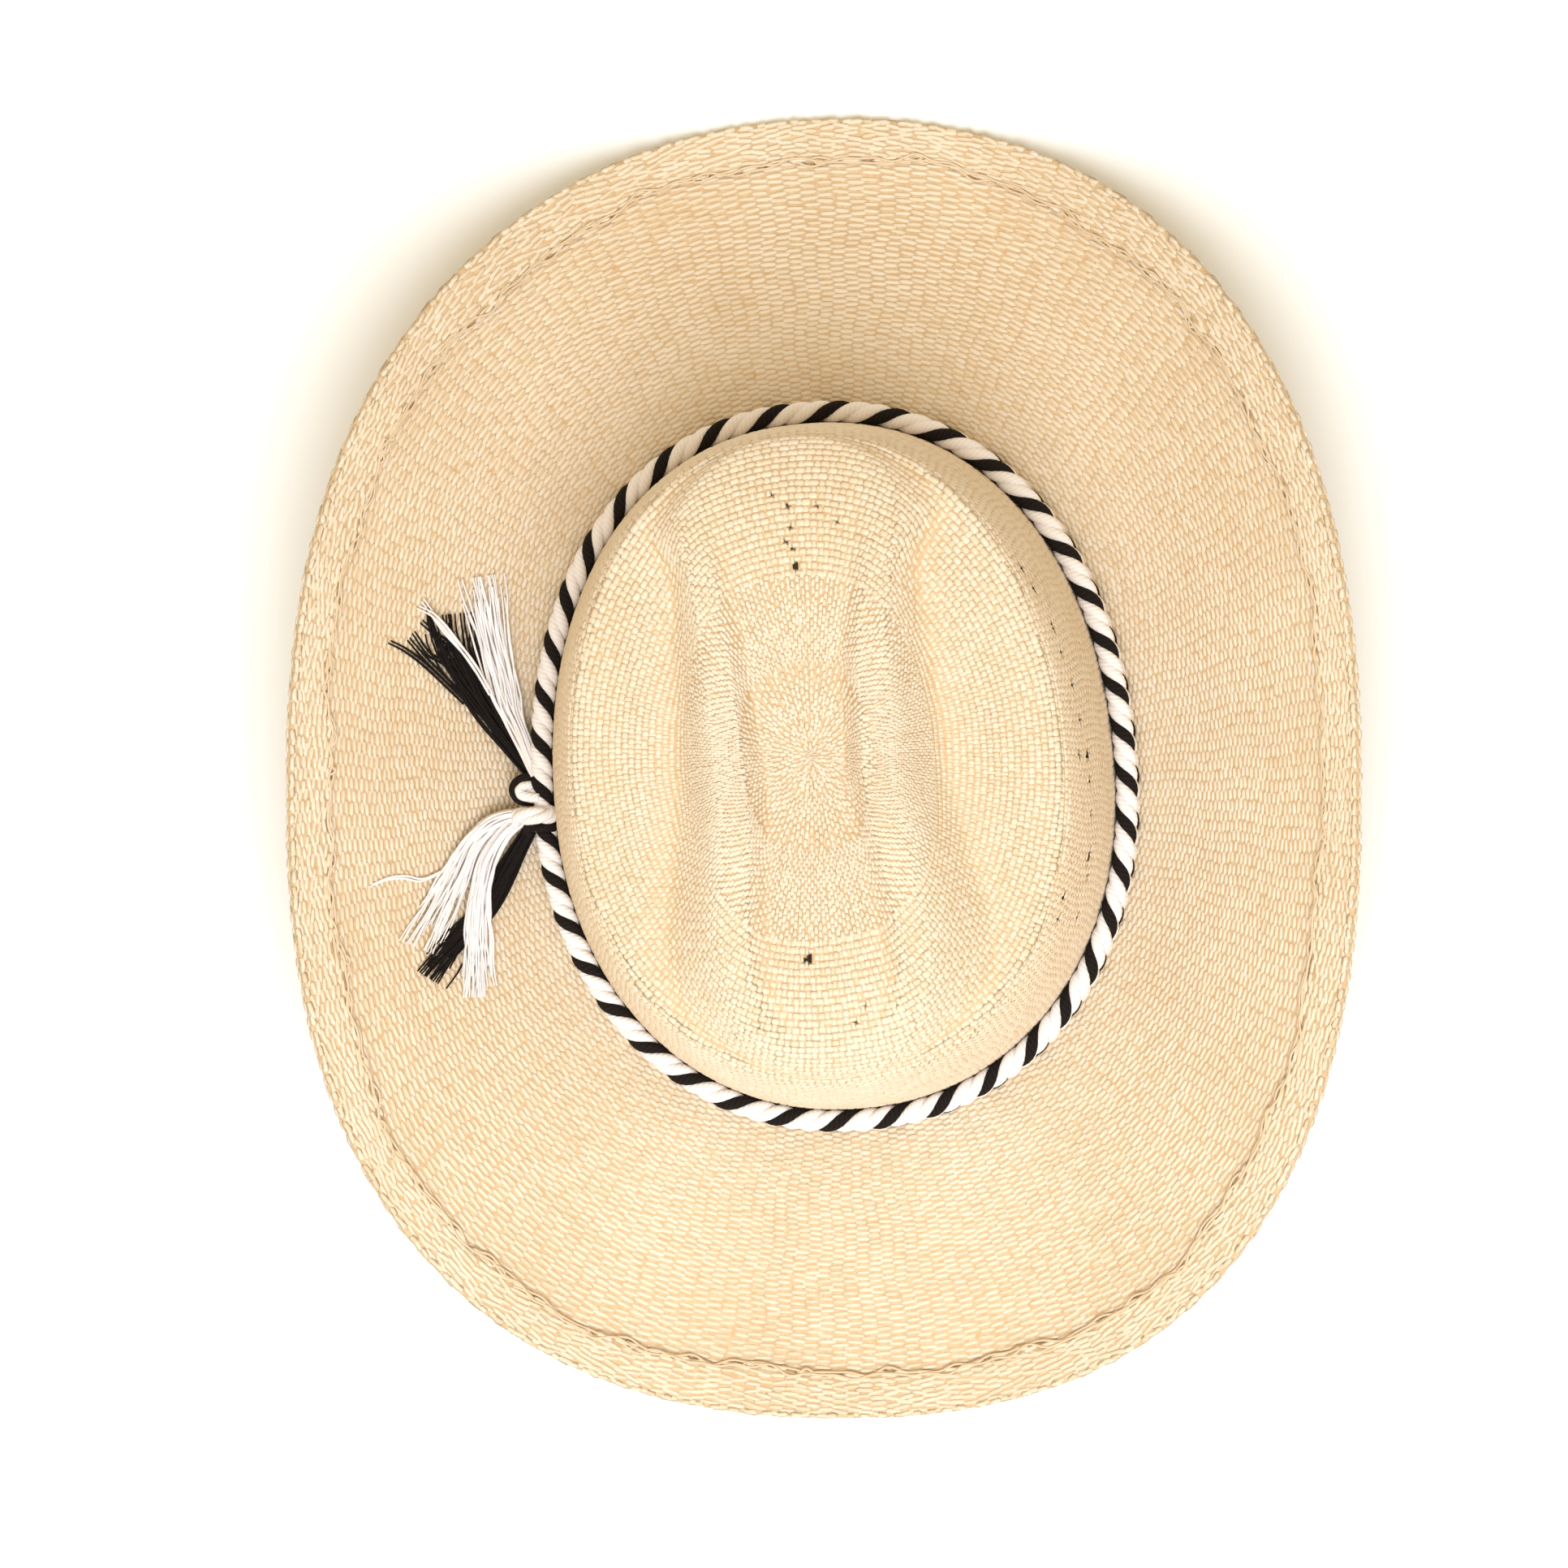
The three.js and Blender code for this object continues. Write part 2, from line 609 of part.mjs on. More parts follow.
// One fringed end: three tapered locks that start together and fan out
function tassel({ length, spread, toward, path }) {
  const locks = [-1, 0, 1].map((fan) => {
    const places = path.map(({ out, front }) =>
      fromKnot(
        CORD / 2 + GAP + out * length,
        toward * (KNOT_LENGTH / 2 + front * length),
        0,
      ),
    );
    const last = places.length - 1;
    const ahead = heading(places, last, false);
    const across = new THREE.Vector3(-ahead.y, ahead.x, 0);
    const aside = (fan * spread * length) / 2;
    places[last].addScaledVector(across, aside);
    places[last].addScaledVector(ahead, -Math.abs(fan) * OUTER_SHORTER * length);
    places[last - 1].addScaledVector(across, aside * FAN_START);
    const lifts = path.map(({ lift }, i) => ({ at: i / last, lift }));
    const points = new THREE.CatmullRomCurve3(places).getPoints(TASSEL_STEPS);
    const normals = points.map((p) => brimNormalAt(p.x, p.y));
    points.forEach((p, i) => {
      const lift = tableValue(lifts, "at", "lift", i / TASSEL_STEPS) * ROOT_WIDTH;
      p.z = brimHeightAt(p.x, p.y);
      p.addScaledVector(normals[i], GAP + FACET_SAG + ROOT_WIDTH / 2 + lift);
    });
    const rings = points.map((p, i) => {
      const end = i === TASSEL_STEPS ? TIP_CLOSING : 1;
      const width = THREE.MathUtils.lerp(ROOT_WIDTH, TIP_WIDTH, i / TASSEL_STEPS) * end;
      const forward = heading(points, i, false);
      return section(p, forward, normals[i], width, ROOT_WIDTH * end, LOCK_SIDES);
    });
    return solid(skin(rings));
  });
  return geometryOf(wasm.Manifold.union(locks));
}

function part(name, geometry, finish) {
  const mesh = new THREE.Mesh(geometry, finish);
  mesh.name = name;
  return mesh;
}

const hat = new THREE.Group();
hat.add(part("woven_body", wovenBody(), straw));
hat.add(part("band_cord_lower", cordTurn(0), whiteCotton));
hat.add(part("band_cord_upper", cordTurn(1), whiteCotton));
hat.add(part("cord_knot", knot(), whiteCotton));
for (const row of TASSELS)
  hat.add(part(row.name, tassel(row), row.name.includes("black") ? blackCotton : whiteCotton));

export default hat;
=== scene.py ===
"""A woven straw cowboy hat with a creased crown, a curled brim and a twisted black and white cord.

The hat's shape is worked out in millimetres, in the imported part's own frame: +Z up, the front at
-Y and the wearer's left at +X. A smooth sheet gives the shape, and thousands of small straw floats
on it give the weave.
"""

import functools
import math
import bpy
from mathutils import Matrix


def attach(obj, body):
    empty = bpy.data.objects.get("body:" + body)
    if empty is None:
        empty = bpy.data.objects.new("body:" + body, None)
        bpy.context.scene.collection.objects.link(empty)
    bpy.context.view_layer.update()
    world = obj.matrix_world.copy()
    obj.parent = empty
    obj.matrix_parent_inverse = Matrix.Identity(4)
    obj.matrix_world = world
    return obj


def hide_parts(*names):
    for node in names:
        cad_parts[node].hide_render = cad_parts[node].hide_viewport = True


bl_info = {
    "name": "Woven Cowboy Hat",
    "version": (1, 0, 0),
    "blender": (4, 5, 0),
    "location": "3D View > Sidebar > Hat",
    "description": "Builds a woven straw cowboy hat with its twisted cord and fringed ends",
    "category": "Add Mesh",
}

import bpy
import numpy as np
from bpy.props import FloatProperty, FloatVectorProperty, IntProperty, PointerProperty
from mathutils import Matrix, Vector

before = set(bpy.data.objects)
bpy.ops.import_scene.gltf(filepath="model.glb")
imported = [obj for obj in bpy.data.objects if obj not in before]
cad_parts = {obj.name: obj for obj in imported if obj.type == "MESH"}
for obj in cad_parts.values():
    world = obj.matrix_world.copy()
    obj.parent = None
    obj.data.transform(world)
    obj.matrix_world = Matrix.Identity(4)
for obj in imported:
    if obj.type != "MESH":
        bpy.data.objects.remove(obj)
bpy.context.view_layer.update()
BODY = "root"
MM = 0.001

# The hat's shape, as in the part's source
STRAW = 1.6
HEM_THICKNESS = 1.3
HEM_WIDTH = 13.0
BASE_HALF_WIDTH, BASE_FRONT, BASE_BACK = 85.7, 109.8, 99.1
CROWN_TURN, CROWN_SHIFT = math.radians(4.4), 1.6
SHOULDER_HEIGHT = 85.0
SIDE_TAPER, FRONT_TAPER, BACK_TAPER = 14.9, 8.8, 13.9
RIDGE_RISE, CREASE_DEPTH, DENT_DEPTH = 21.0, 12.5, 4.0
SIDE_REACH, FRONT_REACH, BACK_REACH = 72.3, 95.3, 96.2
SIDE_CURL, END_DIP = 50.0, 22.0
FRONT_ROUNDNESS, BACK_ROUNDNESS = 2.18, 2.12
BRIM_FRONT_ROUNDNESS, BRIM_BACK_ROUNDNESS = 2.25, 2.4
END_ROUNDING, SIDE_ROUNDING, RIM_SHARE = 5.0, 10.0, 0.97
DENT_SPREAD, CREST, STEEP_SHARE = 0.14, 0.05, 0.7
RIDGE_SHIFT, RIDGE_SKEW = 0.037, 0.056
REST_SHARE, DIP_ENDS, CURL_START, CURL_SOFTNESS = 0.16, 0.85, 0.22, 0.15
CORD, GAP = 6.5, 0.3
KNOT_BEARING = math.radians(3)
FOOT_HEIGHT = STRAW + END_DIP
MIDDLE_Y = (BASE_FRONT + FRONT_REACH - BASE_BACK - BACK_REACH) / 2

# Crown sides, foot to shoulder: shares of the shoulder's height and of the taper
CROWN_WALL = (
    (0.0, 0.0),
    (0.06, 0.02),
    (0.2, 0.1),
    (0.48, 0.32),
    (0.76, 0.62),
    (0.93, 0.86),
    (0.97, 1.0),
)
# Crown top, front to back: place along the half length; shares of the width out to the crease's
# floor, the ridge and the side dent's foot; shares of the ridge's, crease's and dent's size
CROWN_TOP = (
    (-1.0, 0.5, 0.7, 0.96, 0.4, 0.0, 0.0),
    (-0.8, 0.4, 0.62, 0.92, 0.66, 0.12, 0.1),
    (-0.6, 0.27, 0.43, 0.62, 0.82, 0.35, 0.5),
    (-0.4, 0.2, 0.34, 0.57, 0.91, 0.7, 0.9),
    (-0.18, 0.17, 0.31, 0.56, 0.97, 0.95, 1.0),
    (0.05, 0.16, 0.3, 0.58, 1.0, 1.0, 1.0),
    (0.3, 0.195, 0.34, 0.66, 1.0, 0.85, 1.0),
    (0.52, 0.25, 0.41, 0.78, 1.0, 0.62, 0.8),
    (0.73, 0.29, 0.48, 0.9, 0.98, 0.32, 0.4),
    (0.9, 0.2, 0.52, 0.93, 0.92, 0.05, 0.0),
    (1.0, 0.2, 0.55, 0.95, 0.85, 0.0, 0.0),
)
FLOOR, RIDGE, TOE, RISE, CREASE, DENT = range(1, 7)

# Where the weave starts: the middle of its rings, from the crown's own middle
WEAVE_START = (0.5, -8.5)

# Fineness of the tables that the surface is read from
TABLE_BEARINGS = 720
TABLE_STATIONS = 400


def linear(code):
    """Linear colour of an sRGB hex code."""
    parts = [int(code[i : i + 2], 16) / 255 for i in (1, 3, 5)]
    return tuple(c / 12.92 if c <= 0.04045 else ((c + 0.055) / 1.055) ** 2.4 for c in parts)


# Shape


def smoothstep(low, high, value):
    t = np.clip((value - low) / (high - low), 0, 1)
    return t * t * (3 - 2 * t)


def table_value(rows, column, at):
    """Smooth curve through one column of a table, as a function of its first column."""
    table = np.array(rows, float)
    knots, values = table[:, 0], table[:, column]
    ends = np.r_[0, np.arange(len(knots)), len(knots) - 1]
    slopes = (values[ends[2:]] - values[ends[:-2]]) / (knots[ends[2:]] - knots[ends[:-2]])
    at = np.clip(at, knots[0], knots[-1])
    i = np.clip(np.searchsorted(knots, at, side="right") - 1, 0, len(knots) - 2)
    span = knots[i + 1] - knots[i]
    t = (at - knots[i]) / span
    rise = t * t * (3 - 2 * t)
    bend = span * (slopes[i] * t * (1 - t) ** 2 - slopes[i + 1] * t * t * (1 - t))
    return values[i] * (1 - rise) + values[i + 1] * rise + bend


def oval_radius(bearing, half_width, front, back, front_power, back_power):
    is_front = np.sin(bearing) < 0
    along = np.abs(np.sin(bearing)) / np.where(is_front, front, back)
    across = np.abs(np.cos(bearing)) / half_width
    power = np.where(is_front, front_power, back_power)
    return (across**power + along**power) ** (-1 / power)


def crown_radius(bearing, inset):
    return oval_radius(
        bearing - CROWN_TURN,
        BASE_HALF_WIDTH - inset * SIDE_TAPER,
        BASE_FRONT - inset * FRONT_TAPER,
        BASE_BACK - inset * BACK_TAPER,
        FRONT_ROUNDNESS,
        BACK_ROUNDNESS,
    )


def brim_radius(bearing):
    oval = oval_radius(
        bearing,
        BASE_HALF_WIDTH + SIDE_REACH,
        BASE_FRONT + FRONT_REACH,
        BASE_BACK + BACK_REACH,
        BRIM_FRONT_ROUNDNESS,
        BRIM_BACK_ROUNDNESS,
    )
    return oval + CROWN_SHIFT * np.cos(bearing)


def shoulder_width(along):
    power = np.where(along < 0, FRONT_ROUNDNESS, BACK_ROUNDNESS)
    rest = 1 - np.minimum(np.abs(along), 1) ** power
    return (BASE_HALF_WIDTH - SIDE_TAPER) * rest ** (1 / power)


def crown_top_height(x, y):
    """Height over the crown's foot, at a place in the crown's own turned axes."""
    own = np.arctan2(y, x)
    along = y / np.where(y < 0, BASE_FRONT - FRONT_TAPER, BASE_BACK - BACK_TAPER)
    shift = RIDGE_SHIFT - RIDGE_SKEW * along
    aside = x / np.maximum(np.maximum(shoulder_width(along), np.abs(x)), 1e-6) - shift
    across = np.abs(aside) / (1 - shift * np.sign(aside))

    def at(column):
        return table_value(CROWN_TOP, column, along)

    steep_mesa = 1 - smoothstep(at(RIDGE) + CREST, at(TOE), across)
    steep_crease = 1 - smoothstep(at(FLOOR), at(RIDGE) - CREST, across)
    mesa = STEEP_SHARE * steep_mesa + (1 - STEEP_SHARE) * (1 - smoothstep(at(RIDGE), 1, across))
    crease = STEEP_SHARE * steep_crease + (1 - STEEP_SHARE) * (1 - smoothstep(0, at(RIDGE), across))
    dent = np.exp(-(((across - at(TOE)) / DENT_SPREAD) ** 2))
    top = (
        SHOULDER_HEIGHT
        + RIDGE_RISE * at(RISE) * mesa
        - CREASE_DEPTH * at(CREASE) * crease
        - DENT_DEPTH * at(DENT) * dent
    )
    share = np.hypot(x, y) / crown_radius(own + CROWN_TURN, 1)
    power = END_ROUNDING + (SIDE_ROUNDING - END_ROUNDING) * np.cos(own) ** 2
    rounding = np.sqrt(np.maximum(0, 1 - share**power))
    rim = SHOULDER_HEIGHT * RIM_SHARE
    return rim + (top - rim) * rounding


def brim_height(bearing, share):
    def knee(s):
        return np.hypot(s - CURL_START, CURL_SOFTNESS) + s - CURL_START

    curl = (knee(share) - knee(0)) / (knee(1) - knee(0))
    side = smoothstep(REST_SHARE, 1, np.abs(np.cos(bearing)))
    dip = smoothstep(0, DIP_ENDS, share)
    return FOOT_HEIGHT + side * SIDE_CURL * curl - (1 - side) * END_DIP * dip


def brim_height_at(x, y):
    bearing = np.arctan2(y - MIDDLE_Y, x + CROWN_SHIFT)
    inner = crown_radius(bearing, 0)
    share = (np.hypot(x + CROWN_SHIFT, y - MIDDLE_Y) - inner) / (brim_radius(bearing) - inner)
    return brim_height(bearing, np.clip(share, 0, 1))


def spaced(curves, count):
    """Points at even distances along each of several curves: (curve, point, xyz)."""
    steps = np.linalg.norm(np.diff(curves, axis=1), axis=2)
    run = np.concatenate([np.zeros((len(curves), 1)), np.cumsum(steps, axis=1)], axis=1)
    share = np.linspace(0, 1, count)
    even = [
        np.stack([np.interp(share * r[-1], r, c[:, axis]) for axis in range(3)], -1)
        for r, c in zip(run, curves)
    ]
    return np.array(even)


class Surface:
    """The hat's outer surface. A station is 0 at the crown's middle, 1 at the crown's foot and 2
    at the brim's edge, and is measured along the straw between these."""

    def __init__(self):
        bearings = np.arange(TABLE_BEARINGS) * 2 * math.pi / TABLE_BEARINGS
        column = bearings[:, None]
        own = column - CROWN_TURN
        share = 1 - (1 - np.linspace(0, 1, TABLE_STATIONS)[None, :]) ** 2
        shoulder = crown_radius(column, 1)
        x = WEAVE_START[0] * (1 - share) + shoulder * share * np.cos(own)
        y = WEAVE_START[1] * (1 - share) + shoulder * share * np.sin(own)
        turned = np.arctan2(y, x) + CROWN_TURN
        radius = np.hypot(x, y)
        top = self.place(turned, radius, FOOT_HEIGHT + crown_top_height(x, y))
        up = RIM_SHARE * (1 - np.linspace(0, 1, TABLE_STATIONS)[None, 1:])
        inset = table_value(CROWN_WALL, 1, up)
        height = np.broadcast_to(FOOT_HEIGHT + up * SHOULDER_HEIGHT, (TABLE_BEARINGS, up.size))
        wall = self.place(column, crown_radius(column, inset), height)
        across = np.linspace(0, 1, TABLE_STATIONS)[None, :]
        inner = crown_radius(column, 0)
        outer = inner + (brim_radius(column) - inner) * across
        brim = self.place(column, outer, brim_height(column, across))
        crown = spaced(np.concatenate([top, wall], axis=1), TABLE_STATIONS)
        brim = spaced(brim, TABLE_STATIONS)
        self.reach = np.linalg.norm(np.diff(brim, axis=1), axis=2).sum(1)
        self.places = np.concatenate([crown, brim[:, 1:]], axis=1)
        self.last = self.places.shape[1] - 1
        around = np.roll(self.places, -1, 0) - np.roll(self.places, 1, 0)
        around[:, 0] = around[:, 1]
        outward = np.gradient(self.places, axis=1)
        self.around = self.unit(around)
        self.faces = self.unit(np.cross(outward, around))
        self.faces[:, 0] = (0, 0, 1)

    @staticmethod
    def place(bearing, radius, height):
        x = radius * np.cos(bearing) - CROWN_SHIFT
        return np.stack([x, MIDDLE_Y + radius * np.sin(bearing), height + 0 * x], -1)

    @staticmethod
    def unit(vectors):
        return vectors / np.maximum(np.linalg.norm(vectors, axis=-1, keepdims=True), 1e-9)

    def read(self, table, bearing, station):
        """Value of a table between its bearings and stations."""
        b = np.mod(bearing / (2 * math.pi), 1) * TABLE_BEARINGS
        s = np.clip(station, 0, 2) / 2 * self.last
        b0 = np.floor(b).astype(int)
        s0 = np.clip(np.floor(s).astype(int), 0, self.last - 1)
        fb, fs = (b - b0)[..., None], (s - s0)[..., None]
        b0, b1 = b0 % TABLE_BEARINGS, (b0 + 1) % TABLE_BEARINGS
        near = table[b0, s0] * (1 - fb) + table[b1, s0] * fb
        far = table[b0, s0 + 1] * (1 - fb) + table[b1, s0 + 1] * fb
        return near * (1 - fs) + far * fs

    def at(self, bearing, station, lift=0.0):
        """Place, way round the hat and outward direction at each bearing and station."""
        bearing, station = np.broadcast_arrays(np.asarray(bearing, float), station)
        face = self.unit(self.read(self.faces, bearing, station))
        around = self.unit(self.read(self.around, bearing, station))
        place = self.read(self.places, bearing, station) + face * np.asarray(lift)[..., None]
        return place, around, face

    def hem_station(self, bearing):
        """Where the hem's ragged inner edge lies."""
        reach = np.interp(
            np.mod(bearing, 2 * math.pi),
            np.arange(TABLE_BEARINGS + 1) * 2 * math.pi / TABLE_BEARINGS,
            np.r_[self.reach, self.reach[0]],
        )
        return 2 - (HEM_WIDTH + ragged(bearing)) / reach


# Waves of the hem's raw edge: how many round the hat, how far in or out in mm, and their phase
HEM_WAVES = ((5, 0.9, 0.4), (13, 0.8, 2.1), (29, 0.6, 4.0), (53, 0.45, 1.3), (97, 0.3, 5.2))


def ragged(bearing):
    return sum(size * np.sin(count * bearing + phase) for count, size, phase in HEM_WAVES)


# Meshes


def mesh_from(name, places, faces, uvs, slots):
    """Smooth mesh from places in millimetres. uvs holds a pair for each corner of each face."""
    mesh = bpy.data.meshes.new(name)
    mesh.from_pydata((places * MM).tolist(), [], faces)
    layer = mesh.uv_layers.new(name="weave")
    layer.data.foreach_set("uv", uvs.astype(np.float32).ravel())
    mesh.polygons.foreach_set("material_index", slots.astype(np.int32))
    mesh.polygons.foreach_set("use_smooth", [True] * len(faces))
    mesh.update()
    return mesh


def make_piece(name, mesh, nodes, materials=()):
    """Adds a finished piece of the hat that stands for CAD nodes."""
    piece = bpy.data.objects.new(name, mesh)
    bpy.context.scene.collection.objects.link(piece)
    for finish in materials:
        mesh.materials.append(finish)
    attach(piece, BODY)
    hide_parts(*nodes)


def add_node(tree, kind, links=None, **settings):
    """Adds a node. links maps its inputs, by name or number, to values or to other sockets."""
    node = tree.nodes.new(kind)
    for name, value in settings.items():
        setattr(node, name, value)
    for key, value in (links or {}).items():
        if isinstance(value, bpy.types.NodeSocket):
            tree.links.new(value, node.inputs[key])
        else:
            node.inputs[key].default_value = value
    return node


def maths(tree, operation, *values):
    """Socket with the result of one step of arithmetic."""
    return add_node(tree, "ShaderNodeMath", dict(enumerate(values)), operation=operation).outputs[0]


def new_tree(name, inputs):
    """Geometry tree with named inputs: name, socket type and default."""
    tree = bpy.data.node_groups.new(name, "GeometryNodeTree")
    tree.interface.new_socket("Geometry", in_out="INPUT", socket_type="NodeSocketGeometry")
    for label, kind, default in inputs:
        socket = tree.interface.new_socket(label, in_out="INPUT", socket_type=kind)
        if default is not None:
            socket.default_value = default
    tree.interface.new_socket("Geometry", in_out="OUTPUT", socket_type="NodeSocketGeometry")
    return tree


def grow(tree, mesh, values, helpers=()):
    """Plain mesh that the tree makes from a carrier mesh."""
    carrier = bpy.data.objects.new(mesh.name, mesh)
    bpy.context.scene.collection.objects.link(carrier)
    modifier = carrier.modifiers.new(tree.name, "NODES")
    modifier.node_group = tree
    for item in tree.interface.items_tree:
        if item.in_out == "INPUT" and item.name in values:
            modifier[item.identifier] = values[item.name]
    graph = bpy.context.evaluated_depsgraph_get()
    grown = bpy.data.meshes.new_from_object(carrier.evaluated_get(graph), depsgraph=graph)
    for extra in (carrier, *helpers):
        bpy.data.objects.remove(extra)
    if not grown.polygons:
        raise RuntimeError(f"{tree.name} made no faces for {mesh.name}")
    return grown


def grain(name, corner, crest):
    """One float of straw, 1 long, 1 wide and 1 high: a six-sided foot and a rounded back.

    corner and crest say how far from the middle the foot's corners and the back's ends lie.
    """
    foot = [(-0.5, 0), (-corner, -0.5), (corner, -0.5), (0.5, 0), (corner, 0.5), (-corner, 0.5)]
    places = [(x, y, 0) for x, y in foot] + [(-crest, 0, 1), (crest, 0, 1)]
    faces = [
        (5, 4, 3, 2, 1, 0),
        (1, 2, 7, 6),
        (4, 5, 6, 7),
        (0, 1, 6),
        (0, 6, 5),
        (3, 7, 2),
        (3, 4, 7),
    ]
    mesh = bpy.data.meshes.new(name)
    mesh.from_pydata(places, [], faces)
    mesh.polygons.foreach_set("use_smooth", [True] * len(faces))
    shape = bpy.data.objects.new(name, mesh)
    bpy.context.scene.collection.objects.link(shape)
    return shape


def floats_tree():
    """Sets a float of straw on every point of a mesh. The points hold way, face, size and tone."""
    tree = new_tree(
        "Straw floats",
        (
            ("Float", "NodeSocketObject", None),
            ("Straw", "NodeSocketMaterial", None),
            ("Seed", "NodeSocketInt", 1),
            ("Twist", "NodeSocketFloat", 0.06),
            ("Unevenness", "NodeSocketFloat", 0.1),
        ),
    )
    given = add_node(tree, "NodeGroupInput").outputs
    way, face, size = (
        add_node(tree, "GeometryNodeInputNamedAttribute", {"Name": name}, data_type="FLOAT_VECTOR")
        for name in ("way", "face", "size")
    )
    laid = add_node(
        tree,
        "FunctionNodeAxesToRotation",
        {"Primary Axis": face.outputs[0], "Secondary Axis": way.outputs[0]},
        primary_axis="Z",
        secondary_axis="X",
    )
    below = maths(tree, "MULTIPLY", given["Twist"], -1.0)
    twist = add_node(
        tree,
        "FunctionNodeRandomValue",
        {2: below, 3: given["Twist"], "Seed": given["Seed"]},
        data_type="FLOAT",
    )
    turn = add_node(tree, "ShaderNodeCombineXYZ", {"Z": twist.outputs[1]})
    turned = add_node(
        tree,
        "FunctionNodeRotateRotation",
        {"Rotation": laid.outputs[0], "Rotate By": turn.outputs[0]},
        rotation_space="LOCAL",
    )
    least = maths(tree, "SUBTRACT", 1.0, given["Unevenness"])
    most = maths(tree, "ADD", 1.0, given["Unevenness"])
    low = add_node(tree, "ShaderNodeCombineXYZ", dict.fromkeys("XYZ", least))
    high = add_node(tree, "ShaderNodeCombineXYZ", dict.fromkeys("XYZ", most))
    uneven = add_node(
        tree,
        "FunctionNodeRandomValue",
        {0: low.outputs[0], 1: high.outputs[0], "Seed": given["Seed"]},
        data_type="FLOAT_VECTOR",
    )
    scale = add_node(
        tree, "ShaderNodeVectorMath", {0: size.outputs[0], 1: uneven.outputs[0]}, operation="MULTIPLY"
    )
    shape = add_node(tree, "GeometryNodeObjectInfo", {"Object": given["Float"]})
    placed = add_node(
        tree,
        "GeometryNodeInstanceOnPoints",
        {
            "Points": given["Geometry"],
            "Instance": shape.outputs["Geometry"],
            "Rotation": turned.outputs[0],
            "Scale": scale.outputs[0],
        },
    )
    real = add_node(tree, "GeometryNodeRealizeInstances", {"Geometry": placed.outputs[0]})
    finish = add_node(
        tree,
        "GeometryNodeSetMaterial",
        {"Geometry": real.outputs[0], "Material": given["Straw"]},
    )
    add_node(tree, "NodeGroupOutput", {"Geometry": finish.outputs[0]})
    return tree


def threads_tree():
    """Spins a round thread along every run of edges, thinner at its free end."""
    tree = new_tree(
        "Cotton threads",
        (
            ("Radius", "NodeSocketFloat", 0.0003),
            ("Tip", "NodeSocketFloat", 0.5),
            ("Sides", "NodeSocketInt", 4),
            ("Cotton", "NodeSocketMaterial", None),
        ),
    )
    given = add_node(tree, "NodeGroupInput").outputs
    curve = add_node(tree, "GeometryNodeMeshToCurve", {"Mesh": given["Geometry"]})
    along = add_node(tree, "GeometryNodeSplineParameter")
    taper = add_node(
        tree,
        "ShaderNodeMapRange",
        {"Value": along.outputs["Factor"], 1: 0.7, 2: 1.0, 3: 1.0, 4: given["Tip"]},
    )
    radius = add_node(
        tree,
        "GeometryNodeSetCurveRadius",
        {"Curve": curve.outputs[0], "Radius": taper.outputs[0]},
    )
    ring = add_node(
        tree,
        "GeometryNodeCurvePrimitiveCircle",
        {"Resolution": given["Sides"], "Radius": given["Radius"]},
    )
    spun = add_node(
        tree,
        "GeometryNodeCurveToMesh",
        {
            "Curve": radius.outputs[0],
            "Profile Curve": ring.outputs[0],
            "Scale": add_node(tree, "GeometryNodeInputRadius").outputs[0],
            "Fill Caps": True,
        },
    )
    smooth = add_node(tree, "GeometryNodeSetShadeSmooth", {"Geometry": spun.outputs[0]})
    real = add_node(tree, "GeometryNodeRealizeInstances", {"Geometry": smooth.outputs[0]})
    finish = add_node(
        tree,
        "GeometryNodeSetMaterial",
        {"Geometry": real.outputs[0], "Material": given["Cotton"]},
    )
    add_node(tree, "NodeGroupOutput", {"Geometry": finish.outputs[0]})
    return tree


def points_mesh(name, places, values):
    """Mesh of loose points with a vector or number for each."""
    mesh = bpy.data.meshes.new(name)
    mesh.from_pydata((np.asarray(places) * MM).tolist(), [], [])
    for key, data in values.items():
        data = np.asarray(data, np.float32)
        if data.ndim == 2:
            mesh.attributes.new(key, "FLOAT_VECTOR", "POINT").data.foreach_set("vector", data.ravel())
        else:
            mesh.attributes.new(key, "FLOAT", "POINT").data.foreach_set("value", data)
    return mesh


def sweep(rings, closed):
    """Places and faces of a tube through rings of points, with caps where it is open."""
    rings = np.asarray(rings)
    count, sides = rings.shape[:2]
    ring, side = np.meshgrid(np.arange(count if closed else count - 1), np.arange(sides), indexing="ij")
    after, beside = (ring + 1) % count, (side + 1) % sides
    faces = np.stack(
        [ring * sides + side, ring * sides + beside, after * sides + beside, after * sides + side], -1
    )
    faces = faces.reshape(-1, 4).tolist()
    if not closed:
        faces.append(list(range(sides))[::-1])
        faces.append([(count - 1) * sides + k for k in range(sides)])
    return rings.reshape(-1, 3), faces


# Straw

# Lift of the floats' feet from the straw's outer face, in mm, above and on the brim's underside
FLOAT_LIFT = -0.45
UNDERSIDE_LIFT = 0.4 - STRAW
# How far a crossing's tone may differ from its straw's
TONE_JITTER = 0.15


